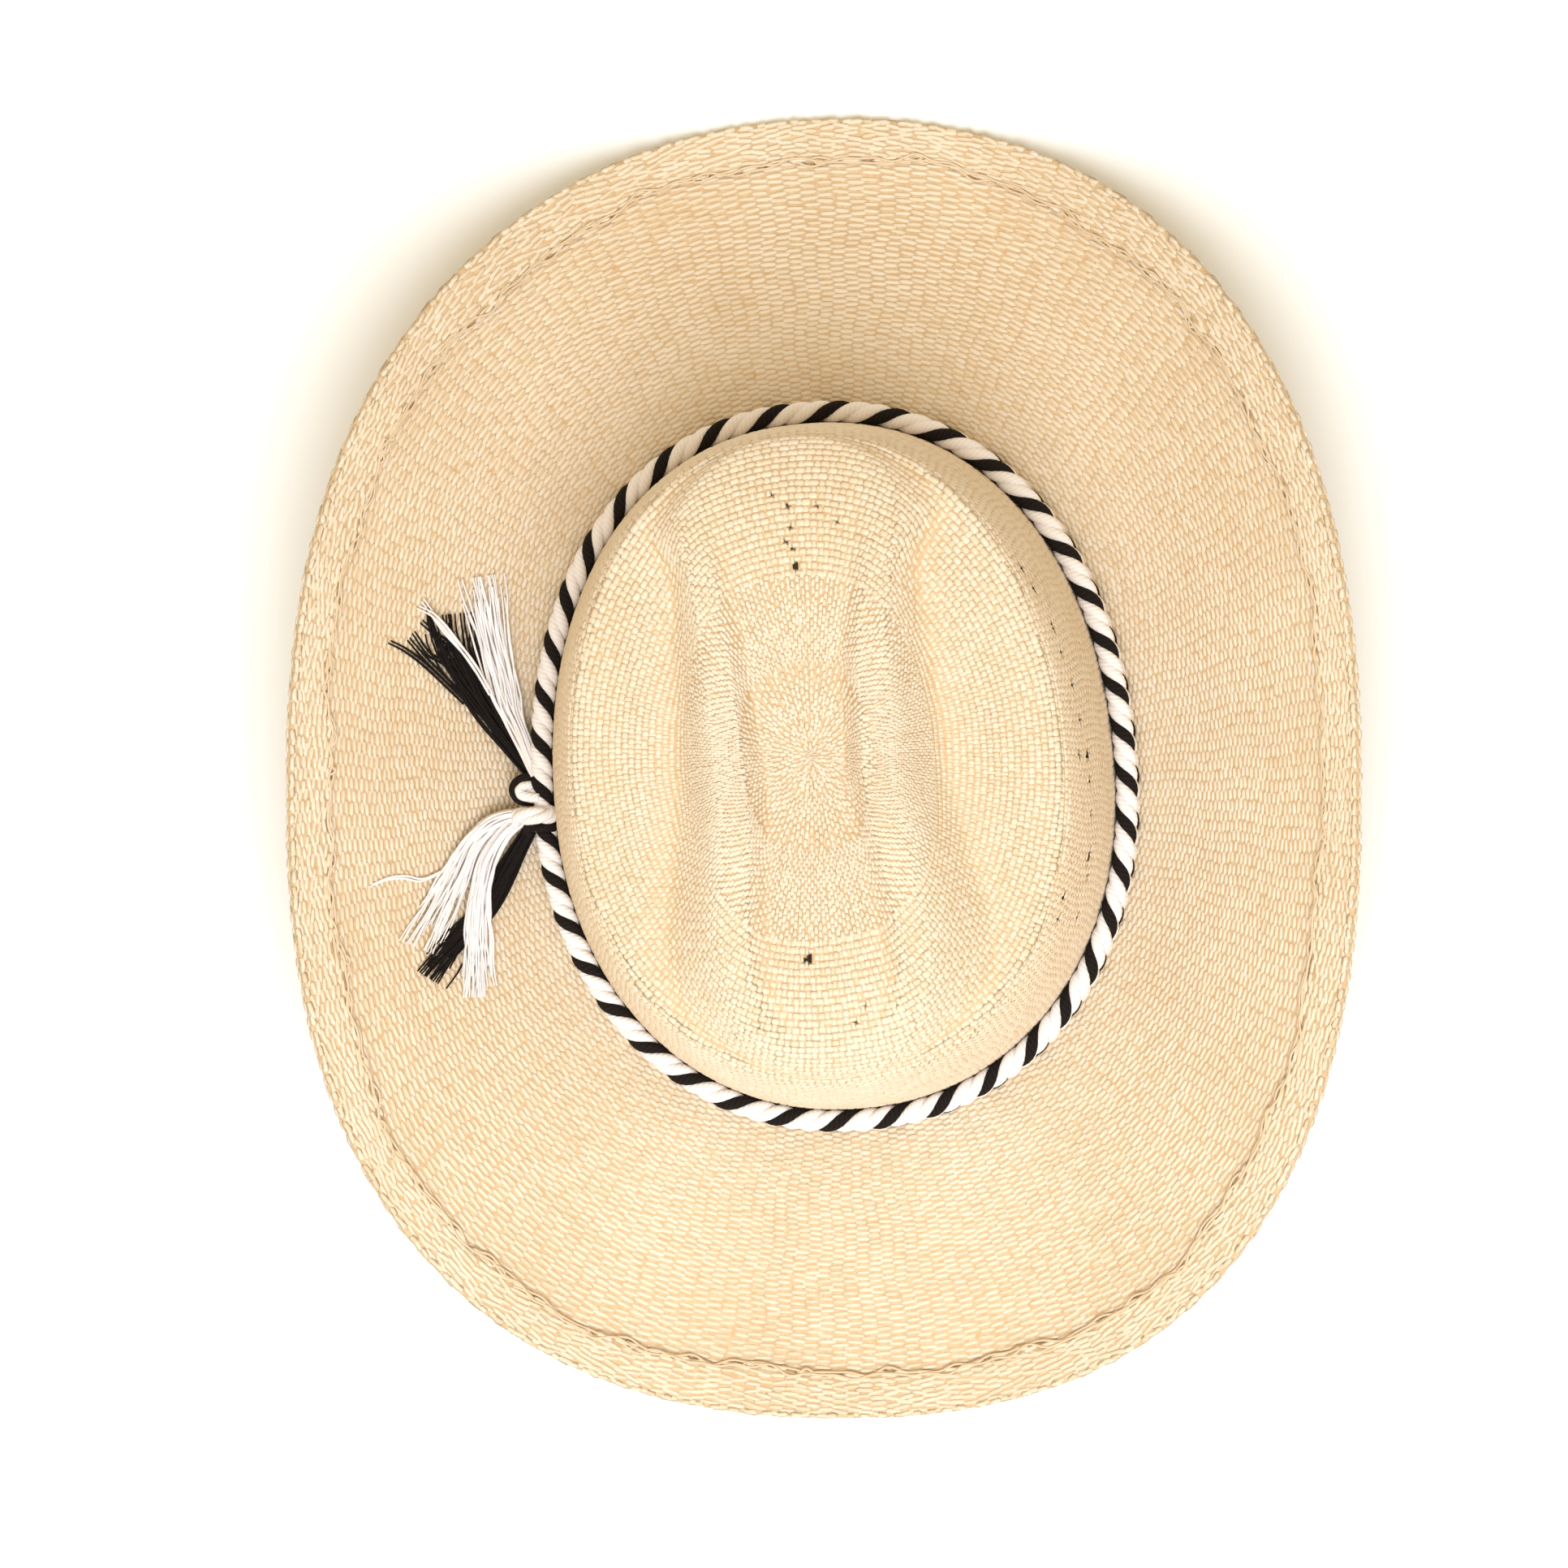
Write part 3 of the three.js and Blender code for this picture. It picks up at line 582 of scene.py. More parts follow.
class Floats:
    """Gathers floats of straw: where each lies, which way it runs and how large it is."""

    def __init__(self, surface, noise):
        self.surface = surface
        self.noise = noise
        self.parts = []

    def add(
        self,
        bearing,
        station,
        length,
        width,
        height,
        tone,
        lift=FLOAT_LIFT,
        radial=False,
        under=False,
    ):
        """length, width and height are in mm. under turns the floats to the brim's lower side."""
        place, around, face = self.surface.at(bearing, station, lift)
        way = np.cross(face, around) if radial else around
        face = -face if under else face
        shape = len(place)
        size = np.stack([np.broadcast_to(v, shape) for v in (length, width, height)], -1) * MM
        own = self.noise.random(shape)
        self.parts.append((place, way, face, size, np.clip(0.5 * tone + 0.5 * own, 0, 1)))

    def cell(self, bearing, station, bearing_step, station_step):
        """Width round the hat and pitch along the straw of a cell of the weave, in mm."""

        def read(b, s):
            return self.surface.read(self.surface.places, b, s)

        beside = read(bearing + bearing_step / 2, station) - read(bearing - bearing_step / 2, station)
        after = read(bearing, station + station_step / 2) - read(bearing, station - station_step / 2)
        return np.linalg.norm(beside, axis=-1), np.linalg.norm(after, axis=-1)

    def grow(self, name, shape, seed, twist, unevenness, finish):
        place, way, face, size, tone = (np.concatenate(p) for p in zip(*self.parts))
        carrier = points_mesh(name, place, {"way": way, "face": face, "size": size, "tone": tone})
        values = {
            "Float": shape,
            "Straw": finish,
            "Seed": seed,
            "Twist": twist,
            "Unevenness": unevenness,
        }
        mesh = grow(tree_named("Straw floats", floats_tree), carrier, values, [shape])
        for spent in ("way", "face", "size"):
            if spent in mesh.attributes:
                mesh.attributes.remove(mesh.attributes[spent])
        return mesh


def tree_named(name, build):
    return bpy.data.node_groups.get(name) or build()


def grid(rows, columns, alternate=False):
    """Row and column numbers of a weave. alternate keeps every second crossing, like bricks."""
    row, column = (a.ravel() for a in np.meshgrid(np.arange(rows), np.arange(columns), indexing="ij"))
    if alternate:
        keep = (row + column) % 2 == 0
        row, column = row[keep], column[keep]
    return row, column


# Crown middle, where the straw starts: first and last mm along it, and the spokes between these
CROWN_START = ((0.6, 4.5, 22), (4.5, 11, 48), (11, 26, 96), (26, 52, 240))
# Its floats in mm: their rings' distance, length, least and greatest breadth, and height
START_PITCH = 1.15
START_FLOAT = 3.0
START_BREADTH = (0.6, 1.7)
START_HEIGHT = 0.8
# Their breadth in spokes' distances between those two, and how much paler they are
START_SPREAD = 1.7
START_PALER = 0.35
# How far the crown's floats are off their places, as shares of a cell: at its middle and beyond
START_JITTER = 0.12
CROWN_JITTER = 0.05
# Rings of the plain weave, counted from the crown's middle to its foot
CROWN_RINGS = 88
# Its floats on a ring and on a spoke: length and breadth in cells, height in mm, and tone
RING_FLOAT = (1.7, 1.42, 0.6, 0.28)
SPOKE_FLOAT = (1.4, 1.25, 0.5, 0.2)
# Breadth of the floats beside a small gap, as a share of the others'
BESIDE_GAP = 0.65


def crown_start(floats):
    """Long radial floats round the crown's middle."""
    whole = crown_run(floats.surface)
    for first, last, spokes in CROWN_START:
        rows = max(round((last - first) / START_PITCH), 1)
        row, column = grid(rows, spokes, alternate=True)
        jitter = floats.noise.normal(0, START_JITTER, (2, len(row)))
        bearing = (column + jitter[0]) * 2 * math.pi / spokes
        station = (first + (row + 0.5 + jitter[1]) * (last - first) / rows) / whole
        width = floats.cell(bearing, station, 2 * math.pi / spokes, 0)[0]
        tone = START_PALER + strand_tones(floats.noise, spokes)[column]
        breadth = np.clip(width * START_SPREAD, *START_BREADTH)
        floats.add(bearing, station, START_FLOAT, breadth, START_HEIGHT, tone, radial=True)


def crown_run(surface):
    """Mean length of the straw from the crown's middle to its foot, in mm."""
    crown = surface.places[:, : surface.last // 2 + 1]
    return float(np.linalg.norm(np.diff(crown, axis=1), axis=2).sum(1).mean())


def strand_tones(noise, count):
    """Tones of single straws, from 0 for the darkest to 1 for the palest."""
    return np.clip(noise.normal(0.5, 0.22, count), 0, 1)


def crown_basket(floats, spokes):
    """Plain weave: each crossing shows a float of the ring or of the spoke, turn about.

    Beside an open corner the floats are narrower, and between two of them there is none.
    """
    start = CROWN_START[-1][1] / crown_run(floats.surface)
    first = math.floor(start * CROWN_RINGS)
    turn = 2 * math.pi / spokes
    row, column = grid(CROWN_RINGS - first, spokes)
    row = row + first
    across, along = weave_sway(row, column * turn)
    askew = floats.noise.normal(0, CROWN_JITTER, (2, len(row)))
    bearing = (column + across + askew[0]) * turn
    station = (row + 0.5 + along + askew[1]) / CROWN_RINGS
    width, pitch = floats.cell(bearing, station, turn, 1 / CROWN_RINGS)
    loose = floats.noise.uniform(-TONE_JITTER, TONE_JITTER, len(row))
    ring_tones = 0.5 * strand_tones(floats.noise, CROWN_RINGS)[row]
    spoke_tones = 0.5 * strand_tones(floats.noise, spokes)[column]
    gaps = open_corners(spokes)
    corners = [gaps[row + down, column - back] for back in (0, 1) for down in (0, 1)]
    narrowing = np.where(np.any(corners, axis=0), BESIDE_GAP, 1.0)
    between = (corners[0] & corners[1]) | (corners[2] & corners[3])
    for kind, along, across, tones, form in (
        (0, width, pitch, ring_tones, RING_FLOAT),
        (1, pitch, width, spoke_tones, SPOKE_FLOAT),
    ):
        laid = ((row + column) % 2 == kind) & ~between
        length, breadth, height, tone = form
        floats.add(
            bearing[laid],
            station[laid],
            along[laid] * length,
            across[laid] * breadth * narrowing[laid],
            height,
            (tones + tone + loose)[laid],
            radial=kind == 1,
        )


def weave_sway(row, bearing):
    """Slow waves of the spokes and rings, as shares of a cell."""
    across = 0.25 * np.sin(row * 0.31 + 2 * bearing) + 0.15 * np.sin(9 * bearing)
    along = 0.16 * np.sin(5 * bearing + row * 0.07) + 0.05 * np.sin(16 * bearing + 1.7)
    return across, along


# Where the crown's weave has small gaps: bearing and its half spread in degrees, station and its
# half spread, and how many gaps there are
OPEN_WEAVE = (
    (-84.5, 0.6, 0.345, 0.055, 6),
    (-86, 12, 0.37, 0.08, 3),
    (88, 0.8, 0.315, 0.025, 4),
    (88, 20, 0.44, 0.05, 4),
    (190, 42, 0.64, 0.07, 40),
    (130, 26, 0.62, 0.06, 16),
)
# Lines of gaps: first and last bearing in degrees, first and last station, how many gaps there
# are and how many rings each one passes
GAP_LINES = (
    (228, 152, 0.565, 0.73, 12, 2),
    (142, 110, 0.62, 0.57, 6, 1),
)
GAP_SEED = 11


def open_corners(spokes):
    """Corners of the weave that stay open: True at its row and at the spoke before it."""
    noise = np.random.default_rng(GAP_SEED)
    gaps = np.zeros((CROWN_RINGS + 1, spokes), bool)
    for bearing, spread, station, depth, count in OPEN_WEAVE:
        bearings = np.radians(bearing + spread * noise.uniform(-1, 1, count))
        stations = station + depth * noise.uniform(-1, 1, count)
        column = np.floor(bearings / (2 * math.pi) * spokes).astype(int) % spokes
        gaps[np.round(stations * CROWN_RINGS).astype(int), column] = True
    for first, last, start, end, count, rings in GAP_LINES:
        share = np.linspace(0, 1, count) + noise.uniform(-0.3, 0.3, count) / count
        column = np.round((first + (last - first) * share) / 360 * spokes).astype(int) % spokes
        row = np.round((start + (end - start) * share) * CROWN_RINGS).astype(int)
        for ring in range(rings):
            gaps[row + ring, column] = True
    return gaps


# Rings of the brim's weave, and how much wider they get towards the edge
BRIM_ROWS = 104
ROW_GROWTH = 0.1
# Length of its floats in spokes' distances, and their breadth in rings' distances
BRIM_FLOAT = (1.65, 2.2)
# How far they are off their places round the brim and across it, as shares of a cell
BRIM_JITTER = (0.07, 0.08)


def brim_station(row):
    share = (row + 0.5) / BRIM_ROWS
    return 1 + (share + ROW_GROWTH * share**2) / (1 + ROW_GROWTH)


def brim_rows(floats, settings, under):
    """Packed rings that hide the spokes: each float passes over one spoke, laid like bricks."""
    spokes = settings.spokes
    turn = 2 * math.pi / spokes
    row, column = grid(BRIM_ROWS, spokes, alternate=True)
    around, across = BRIM_JITTER
    sway = 0.16 * np.sin(row * 0.21 + 3 * column * turn) + floats.noise.normal(0, around, len(row))
    bearing = (column + sway) * turn
    station = brim_station(row + floats.noise.normal(0, across, len(row)))
    if not under:
        shown = station < floats.surface.hem_station(bearing) + 0.004
        row, column, bearing, station = row[shown], column[shown], bearing[shown], station[shown]
    width, pitch = floats.cell(bearing, station, turn, 1 / BRIM_ROWS)
    bands = 0.5 + 0.5 * np.sin(14 * bearing) * np.sin(3 * bearing + 1)
    tone = 0.6 * strand_tones(floats.noise, BRIM_ROWS)[row] + 0.4 * bands
    height = settings.float_height / MM
    lift = UNDERSIDE_LIFT if under else FLOAT_LIFT
    length, breadth = BRIM_FLOAT
    floats.add(bearing, station, width * length, pitch * breadth, height, tone, lift, under=under)


# Rings and spokes of the turned-over edge
HEM_ROWS = 15
HEM_SPOKES = 300
# Its floats: length in spokes' distances, breadth, height and how deep their feet lie in mm
HEM_FLOAT = (1.85, 1.95, 0.6, 0.42)
# How far they may lie askew, in radians, and the share by which their sizes vary
HEM_LOOSE = (0.22, 0.15)
# How far they are off their places along the edge and across it, as shares of a cell
HEM_JITTER = (0.12, 0.1)


def hem_floats(floats):
    """The turned-over edge: a closer, less even weave."""
    turn = 2 * math.pi / HEM_SPOKES
    row, column = grid(HEM_ROWS, HEM_SPOKES, alternate=True)
    around, across = HEM_JITTER
    bearing = (column + floats.noise.normal(0, around, len(row))) * turn
    start = floats.surface.hem_station(bearing)
    place = row + 0.35 + floats.noise.normal(0, across, len(row))
    station = start + (2 - start) * place / HEM_ROWS
    width = floats.cell(bearing, station, turn, 0)[0]
    tone = 0.4 + 0.4 * strand_tones(floats.noise, HEM_ROWS)[row]
    tone = tone + floats.noise.uniform(-TONE_JITTER, TONE_JITTER, len(row))
    length, breadth, height, depth = HEM_FLOAT
    floats.add(bearing, station, width * length, breadth, height, tone, HEM_THICKNESS - depth)


# Rows of floats round the fold: how far up or down it, in radians, and along it, in spokes
FOLD_ROWS = ((0.0, 0.0), (0.9, 0.5), (-0.9, 0.5))
# Their length, breadth and height, and how far their feet stand out from the brim's edge, in mm
FOLD_FLOAT = (4.6, 1.9, 1.0)
FOLD_REACH = -0.6
FOLD_JITTER = 0.08


def fold_floats(floats, spokes):
    """Fat floats that wrap the folded edge, three rows with one for each spoke."""
    middle = (HEM_THICKNESS - STRAW) / 2
    half = (HEM_THICKNESS + STRAW) / 2
    for angle, offset in FOLD_ROWS:
        askew = floats.noise.normal(0, FOLD_JITTER, spokes)
        bearing = (np.arange(spokes) + offset + askew) * 2 * math.pi / spokes
        edge, around, up = floats.surface.at(bearing, 2.0)
        out = np.cross(around, up)
        face = out * math.cos(angle) + up * math.sin(angle)
        rise = middle + half * 0.8 * math.sin(angle)
        place = edge + up * rise + out * FOLD_REACH * math.cos(angle)
        size = np.tile(FOLD_FLOAT, (spokes, 1)) * MM
        floats.parts.append((place, around, face, size, floats.noise.random(spokes)))


# Lift of the sheet under the floats, in mm from the straw's outer face
SHEET_SINK = -0.25
# Rings of the sheet on the brim and on its underside, and shares of the way over the hem
BRIM_SHEET_ROWS = 32
UNDERSIDE_ROWS = 34
HEM_SHEET_ROWS = (0.02, 0.3, 0.6, 0.85, 1)
# How far the sheet's fold stays within half the straw's thickness of the edge, in mm
FOLD_INSET = 0.4


def straw_sheet_mesh(surface, spokes):
    """Closed sheet under the floats, with the hem's step and fold and the weave's open corners."""
    turn = 2 * math.pi / spokes
    columns = np.arange(spokes)
    hem = surface.hem_station(columns * turn)
    floor, under = SHEET_SINK, -STRAW - SHEET_SINK

    def ring(station, lift):
        return surface.at(columns * turn, station, lift)[0]

    def crown_ring(row, lift):
        across, along = weave_sway(row, columns * turn)
        return surface.at((columns + across) * turn, (row + 0.5 + along) / CROWN_RINGS, lift)[0]

    crown = [crown_ring(row, floor) for row in range(CROWN_RINGS)]
    brim = [ring(1 + (hem - 1) * share, floor) for share in np.linspace(0, 1, BRIM_SHEET_ROWS)]
    top = HEM_THICKNESS + floor
    hem_rows = [ring(hem + (2 - hem) * share, top) for share in HEM_SHEET_ROWS]
    edge, around, up = surface.at(columns * turn, 2.0)
    out = np.cross(around, up)
    fold = edge + out * (STRAW / 2 - FOLD_INSET) + up * (HEM_THICKNESS - STRAW) / 2
    below = [ring(station, under) for station in np.linspace(2, 1, UNDERSIDE_ROWS)]
    inside = [crown_ring(row, -STRAW) for row in reversed(range(CROWN_RINGS))]
    rings = np.array([*crown, *brim, *hem_rows, fold, *below, *inside])
    places, faces = sweep(rings[:, ::-1], closed=False)
    rows = len(rings)
    row = np.repeat(np.arange(rows - 1), spokes)
    spoke = np.tile(columns, rows - 1)
    u = np.stack([spoke, spoke + 1, spoke + 1, spoke], -1)
    v = np.stack([row, row, row + 1, row + 1], -1)
    uvs = np.stack([u, v], -1).astype(float)
    slots = (row >= rows - len(inside)).astype(int)
    kept = np.ones((rows - 1, spokes), bool)
    holes = []
    # The rings were turned round above to make the faces look outwards, and the spokes with them
    for gap_row, gap_spoke in np.argwhere(open_corners(spokes)):
        outer, inner, side = gap_row - 1, rows - 1 - gap_row, (spokes - 2 - gap_spoke) % spokes
        kept[outer, side] = kept[inner, side] = False
        holes.append((outer, inner, side))
    walls = hole_walls(holes, spokes)
    kept = kept.ravel()
    whole = np.array(faces[: len(kept)])[kept]
    uvs = np.concatenate([uvs[kept].reshape(-1, 2), np.zeros((4 * len(walls) + 2 * spokes, 2))])
    # The holes' walls take the third material, painted nearly black as shade
    slots = np.r_[slots[kept], np.full(len(walls), 2), 0, 1]
    all_faces = [*whole.tolist(), *walls, *faces[-2:]]
    return mesh_from("straw_sheet", places, all_faces, uvs, slots)


def hole_walls(holes, spokes):
    """Faces that join the outer and inner rims of the sheet's holes."""

    def index(ring, side):
        return ring * spokes + side

    faces = []
    cut = {(outer, side) for outer, _, side in holes}
    for outer, inner, side in holes:
        near, far = side, (side + 1) % spokes
        corners = ((outer, near), (outer, far), (outer + 1, far), (outer + 1, near))
        facing = ((outer - 1, side), (outer, far), (outer + 1, side), (outer, (side - 1) % spokes))
        for first, second, beyond in zip(corners, corners[1:] + corners[:1], facing):
            if beyond in cut:
                continue
            mirrored = [index(outer + inner + 1 - ring, spoke) for ring, spoke in (first, second)]
            faces.append([index(*first), *mirrored, index(*second)])
    return faces


# Long loose straws at the hem's inner edge: shift as a share of the brim, lift in mm and phase
LONG_STRAWS = ((-0.004, 1.0, 0.0), (0.006, 1.5, 2.0))
LONG_STEPS = 900
# Short loops: how many, half their length in radians, how far they bulge across the brim as a share
# of it, how high they rise in mm, and the points along each one
LOOSE_LOOPS = 150
LOOP_SPREAD = (0.008, 0.024)
LOOP_BULGE = (-0.022, 0.012)
LOOP_RISE = (0.3, 1.1)
LOOP_STEPS = 9
# Radius of the loose straws in mm
LOOSE_STRAW = 0.42


def raw_edge_rows(surface, noise):
    """Loose straws along the hem's inner edge: two long wavy ones and many short loops."""
    runs = []
    whole = np.linspace(0, 2 * math.pi, LONG_STEPS, endpoint=False)
    for shift, lift, phase in LONG_STRAWS:
        wave = 0.004 * np.sin(71 * whole + phase) + 0.003 * np.sin(113 * whole + 2 * phase)
        place = surface.at(whole, surface.hem_station(whole) + shift + wave, lift)[0]
        runs.append(np.concatenate([place, place[:1]]))
    share = np.linspace(-1, 1, LOOP_STEPS)
    for centre in noise.uniform(0, 2 * math.pi, LOOSE_LOOPS):
        spread = noise.uniform(*LOOP_SPREAD)
        bulge = noise.uniform(*LOOP_BULGE) * (1 - share**2)
        bearing = centre + spread * share * (1 + 0.3 * noise.uniform(-1, 1))
        station = surface.hem_station(np.full(LOOP_STEPS, centre)) + 0.012 + bulge
        lift = 0.7 + noise.uniform(*LOOP_RISE) * (1 - share**2)
        runs.append(surface.at(bearing, station, lift)[0])
    return runs


def runs_mesh(name, runs):
    """Mesh of open runs of edges, which the threads tree spins into threads."""
    places = np.concatenate(runs)
    edges, first = [], 0
    for run in runs:
        edges += [(first + i, first + i + 1) for i in range(len(run) - 1)]
        first += len(run)
    mesh = bpy.data.meshes.new(name)
    mesh.from_pydata((places * MM).tolist(), edges, [])
    return mesh


def spin(name, runs, radius, tip, sides, finish):
    values = {"Radius": radius * MM, "Tip": tip, "Sides": sides, "Cotton": finish}
    return grow(tree_named("Cotton threads", threads_tree), runs_mesh(name, runs), values)


# Cord

# Angles that the strands of the lower and the upper turn start at
CORD_PHASES = (1.0, 2.9)
# Steps of the cord's path for each lay, and how fat and how flattened a strand is
LAY_STEPS = 14
STRAND_FULLNESS = 1.1
STRAND_FLATNESS = 1.12


def cord_place(bearing, layer):
    """Middle of a turn of the cord, against the crown's wall at its height over the brim."""
    lift = CORD / 2 + GAP + layer * (CORD + GAP)
    inset = table_value(CROWN_WALL, 1, lift / SHOULDER_HEIGHT)
    step = math.pi / 60

    def wall(b):
        return Surface.place(b, crown_radius(b, inset), 0.0)

    around = Surface.unit(wall(bearing + step) - wall(bearing - step))
    out = np.stack([around[..., 1], -around[..., 0], 0 * around[..., 0]], -1)
    place = wall(bearing) + out * (CORD / 2 + GAP)
    rim = place + out * CORD / 2
    foot = np.maximum(brim_height_at(rim[..., 0], rim[..., 1]), FOOT_HEIGHT)
    place[..., 2] = foot + lift
    return place


def heading(path, closed):
    """Unit directions along a path of points."""
    if closed:
        return Surface.unit(np.roll(path, -1, 0) - np.roll(path, 1, 0))
    return Surface.unit(np.gradient(path, axis=0))


def rope(middle, closed, size, turns, phase, sides=12):
    """Three strands laid round each other along a path. Returns places, faces, uvs and strands.

    size is the rope's diameter, and turns how often each strand goes round on the way. The uv runs
    in mm along the strand and once round it.
    """
    count = len(middle)
    forward = heading(middle, closed)
    up = np.tile([0.0, 0.0, 1.0], (count, 1))
    out = Surface.unit(np.cross(forward, up))
    up = np.cross(out, forward)
    run = np.linalg.norm(np.diff(middle, axis=0, prepend=middle[:1]), axis=1).cumsum()
    share = np.linspace(0, 1, count, endpoint=not closed)
    strand_size = size / (1 + 2 / math.sqrt(3))
    offset = (size - strand_size) / 2
    all_places, all_faces, all_uvs, strands = [], [], [], []
    for strand in range(3):
        turn = phase + 2 * math.pi * (turns * share + strand / 3)
        outward = out * np.cos(turn)[:, None] + up * np.sin(turn)[:, None]
        centre = middle + outward * offset
        ahead = heading(centre, closed)
        beside = Surface.unit(np.cross(outward, ahead))
        outward = np.cross(ahead, beside)
        angle = 2 * math.pi * np.arange(sides) / sides
        radius = strand_size / 2 * STRAND_FULLNESS
        wide = beside[:, None] * (np.cos(angle) * radius * STRAND_FLATNESS)[None, :, None]
        high = outward[:, None] * (np.sin(angle) * radius)[None, :, None]
        rings = centre[:, None] + wide + high
        places, faces = sweep(rings, closed)
        base = strand * len(places)
        all_faces += [[base + v for v in face] for face in faces]
        all_places.append(places)
        spans = count if closed else count - 1
        row = np.repeat(np.arange(spans), sides)
        side = np.tile(np.arange(sides), spans)
        end = np.r_[run, run[-1] + np.linalg.norm(middle[0] - middle[-1])]
        u = np.stack([end[row], end[row], end[row + 1], end[row + 1]], -1)
        v = np.stack([side, side + 1, side + 1, side], -1) / sides
        all_uvs.append(np.stack([u, v], -1).reshape(-1, 2))
        if not closed:
            all_uvs.append(np.zeros((2 * sides, 2)))
        strands += [strand] * len(faces)
    return np.concatenate(all_places), all_faces, np.concatenate(all_uvs), np.array(strands)


def knot_frame():
    """Place of the knot and its directions out from the crown and to the front."""
    place = cord_place(np.array(KNOT_BEARING), 1)
    ahead = cord_place(np.array(KNOT_BEARING - math.pi / 120), 1) - place
    ahead[2] = 0
    front = Surface.unit(ahead)
    return place, np.array([-front[1], front[0], 0]), front


def smooth_path(points, steps):
    """Smooth run through chosen points."""
    points = np.asarray(points, float)
    rows = [(i, *p) for i, p in enumerate(points)]
    at = np.linspace(0, len(points) - 1, steps)
    return np.stack([table_value(rows, c + 1, at) for c in range(points.shape[1])], -1)


def from_knot(points):
    """Places given as (out, front, up) in mm from the knot."""
    place, out, front = knot_frame()
    points = np.asarray(points, float)
    return place + points[:, :1] * out + points[:, 1:2] * front + points[:, 2:] * (0, 0, 1)


def over_brim(points):
    """Places given as (out, front, height over the brim) in mm from the knot."""
    flat = from_knot(np.c_[points[:, :2], np.zeros(len(points))])
    flat[:, 2] = brim_height_at(flat[:, 0], flat[:, 1]) + points[:, 2]
    return flat


# The cord's end doubles back in a small bight beside the knot: out, front and up in mm
BIGHT = (
    (0.6, 5.9, -4.4),
    (3.6, 5.9, -1.6),
    (6.3, 5.2, -0.6),
    (7.5, 3.4, -0.4),
    (6.4, 1.6, -0.2),
    (3.6, 1.0, 0.4),
    (0.4, 0.8, 1.4),
)
BIGHT_SIZE = 5.5
# A white strand comes up beside the crown and over the cord
WRAP = (
    (-2.4, -4.2, 0.8),
    (-1.8, -4.7, 3.6),
    (0.8, -4.9, 5.1),
    (4.0, -4.6, 4.3),
    (6.8, -4.6, 1.8),
    (8.8, -5.4, -1.4),
)
WRAP_SIZE = 5.4
# Below it a black strand goes the same way round
UNDER_WRAP = (
    (-2.8, -7.8, -1.0),
    (-2.5, -8.2, 1.8),
    (-0.5, -8.1, 3.7),
    (2.4, -7.8, 3.4),
    (4.6, -8.2, 0.8),
    (5.6, -9.8, -2.6),
)
UNDER_WRAP_SIZE = 3.4
# How often the strands wind round in the bight and in the wraps, and the angle that they start at
BIGHT_LAY = (-0.25, -3.4)
WRAP_LAY = (0.7, 0.3)
BIGHT_STEPS = 70
WRAP_STEPS = 36

# Fringed ends: out, front and height over the brim in mm, and half the bundle's width there
FRINGES = {
    "tassel_front_black": (
        (2.2, 7.4, 6.2, 1.8),
        (7.2, 14.0, 3.2, 2.6),
        (13.2, 23.2, 1.4, 3.2),
        (18.9, 34.8, 0.6, 4.8),
        (23.0, 46.0, 0.4, 6.6),
        (24.4, 60.5, 0.3, 8.2),
    ),
    "tassel_front_white": (
        (1.6, 7.6, 8.6, 1.5),
        (4.4, 15.8, 5.4, 2.2),
        (7.9, 25.0, 2.8, 3.2),
        (10.2, 34.0, 1.4, 4.4),
        (13.0, 52.0, 0.7, 5.4),
        (15.4, 72.5, 0.3, 7.6),
    ),
    "tassel_back_white_outer": (
        (6.4, -4.6, 7.6, 2.2),
        (11.5, -4.9, 5.6, 2.4),
        (17.0, -7.0, 4.2, 2.6),
        (22.6, -12.4, 2.6, 3.0),
        (27.4, -20.6, 1.2, 3.8),
        (32.4, -30.2, 0.6, 4.6),
        (41.0, -45.6, 0.3, 6.0),
    ),
    "tassel_back_white_inner": (
        (7.4, -5.4, 6.6, 2.0),
        (13.0, -9.6, 5.2, 2.3),
        (18.0, -17.0, 3.8, 2.7),
        (20.6, -25.2, 2.8, 3.2),
        (22.2, -36.2, 2.2, 3.6),
        (22.8, -46.7, 1.0, 4.4),
        (23.5, -61.8, 0.3, 6.4),
    ),
    "tassel_back_black": (
        (4.8, -8.8, 4.4, 1.9),
        (9.6, -15.6, 1.6, 2.6),
        (13.8, -22.4, 0.7, 3.0),
        (18.8, -31.0, 0.2, 3.2),
        (24.4, -37.4, 0.2, 3.4),
        (30.4, -43.8, 0.2, 4.4),
        (38.4, -53.8, 0.3, 6.4),
    ),
}
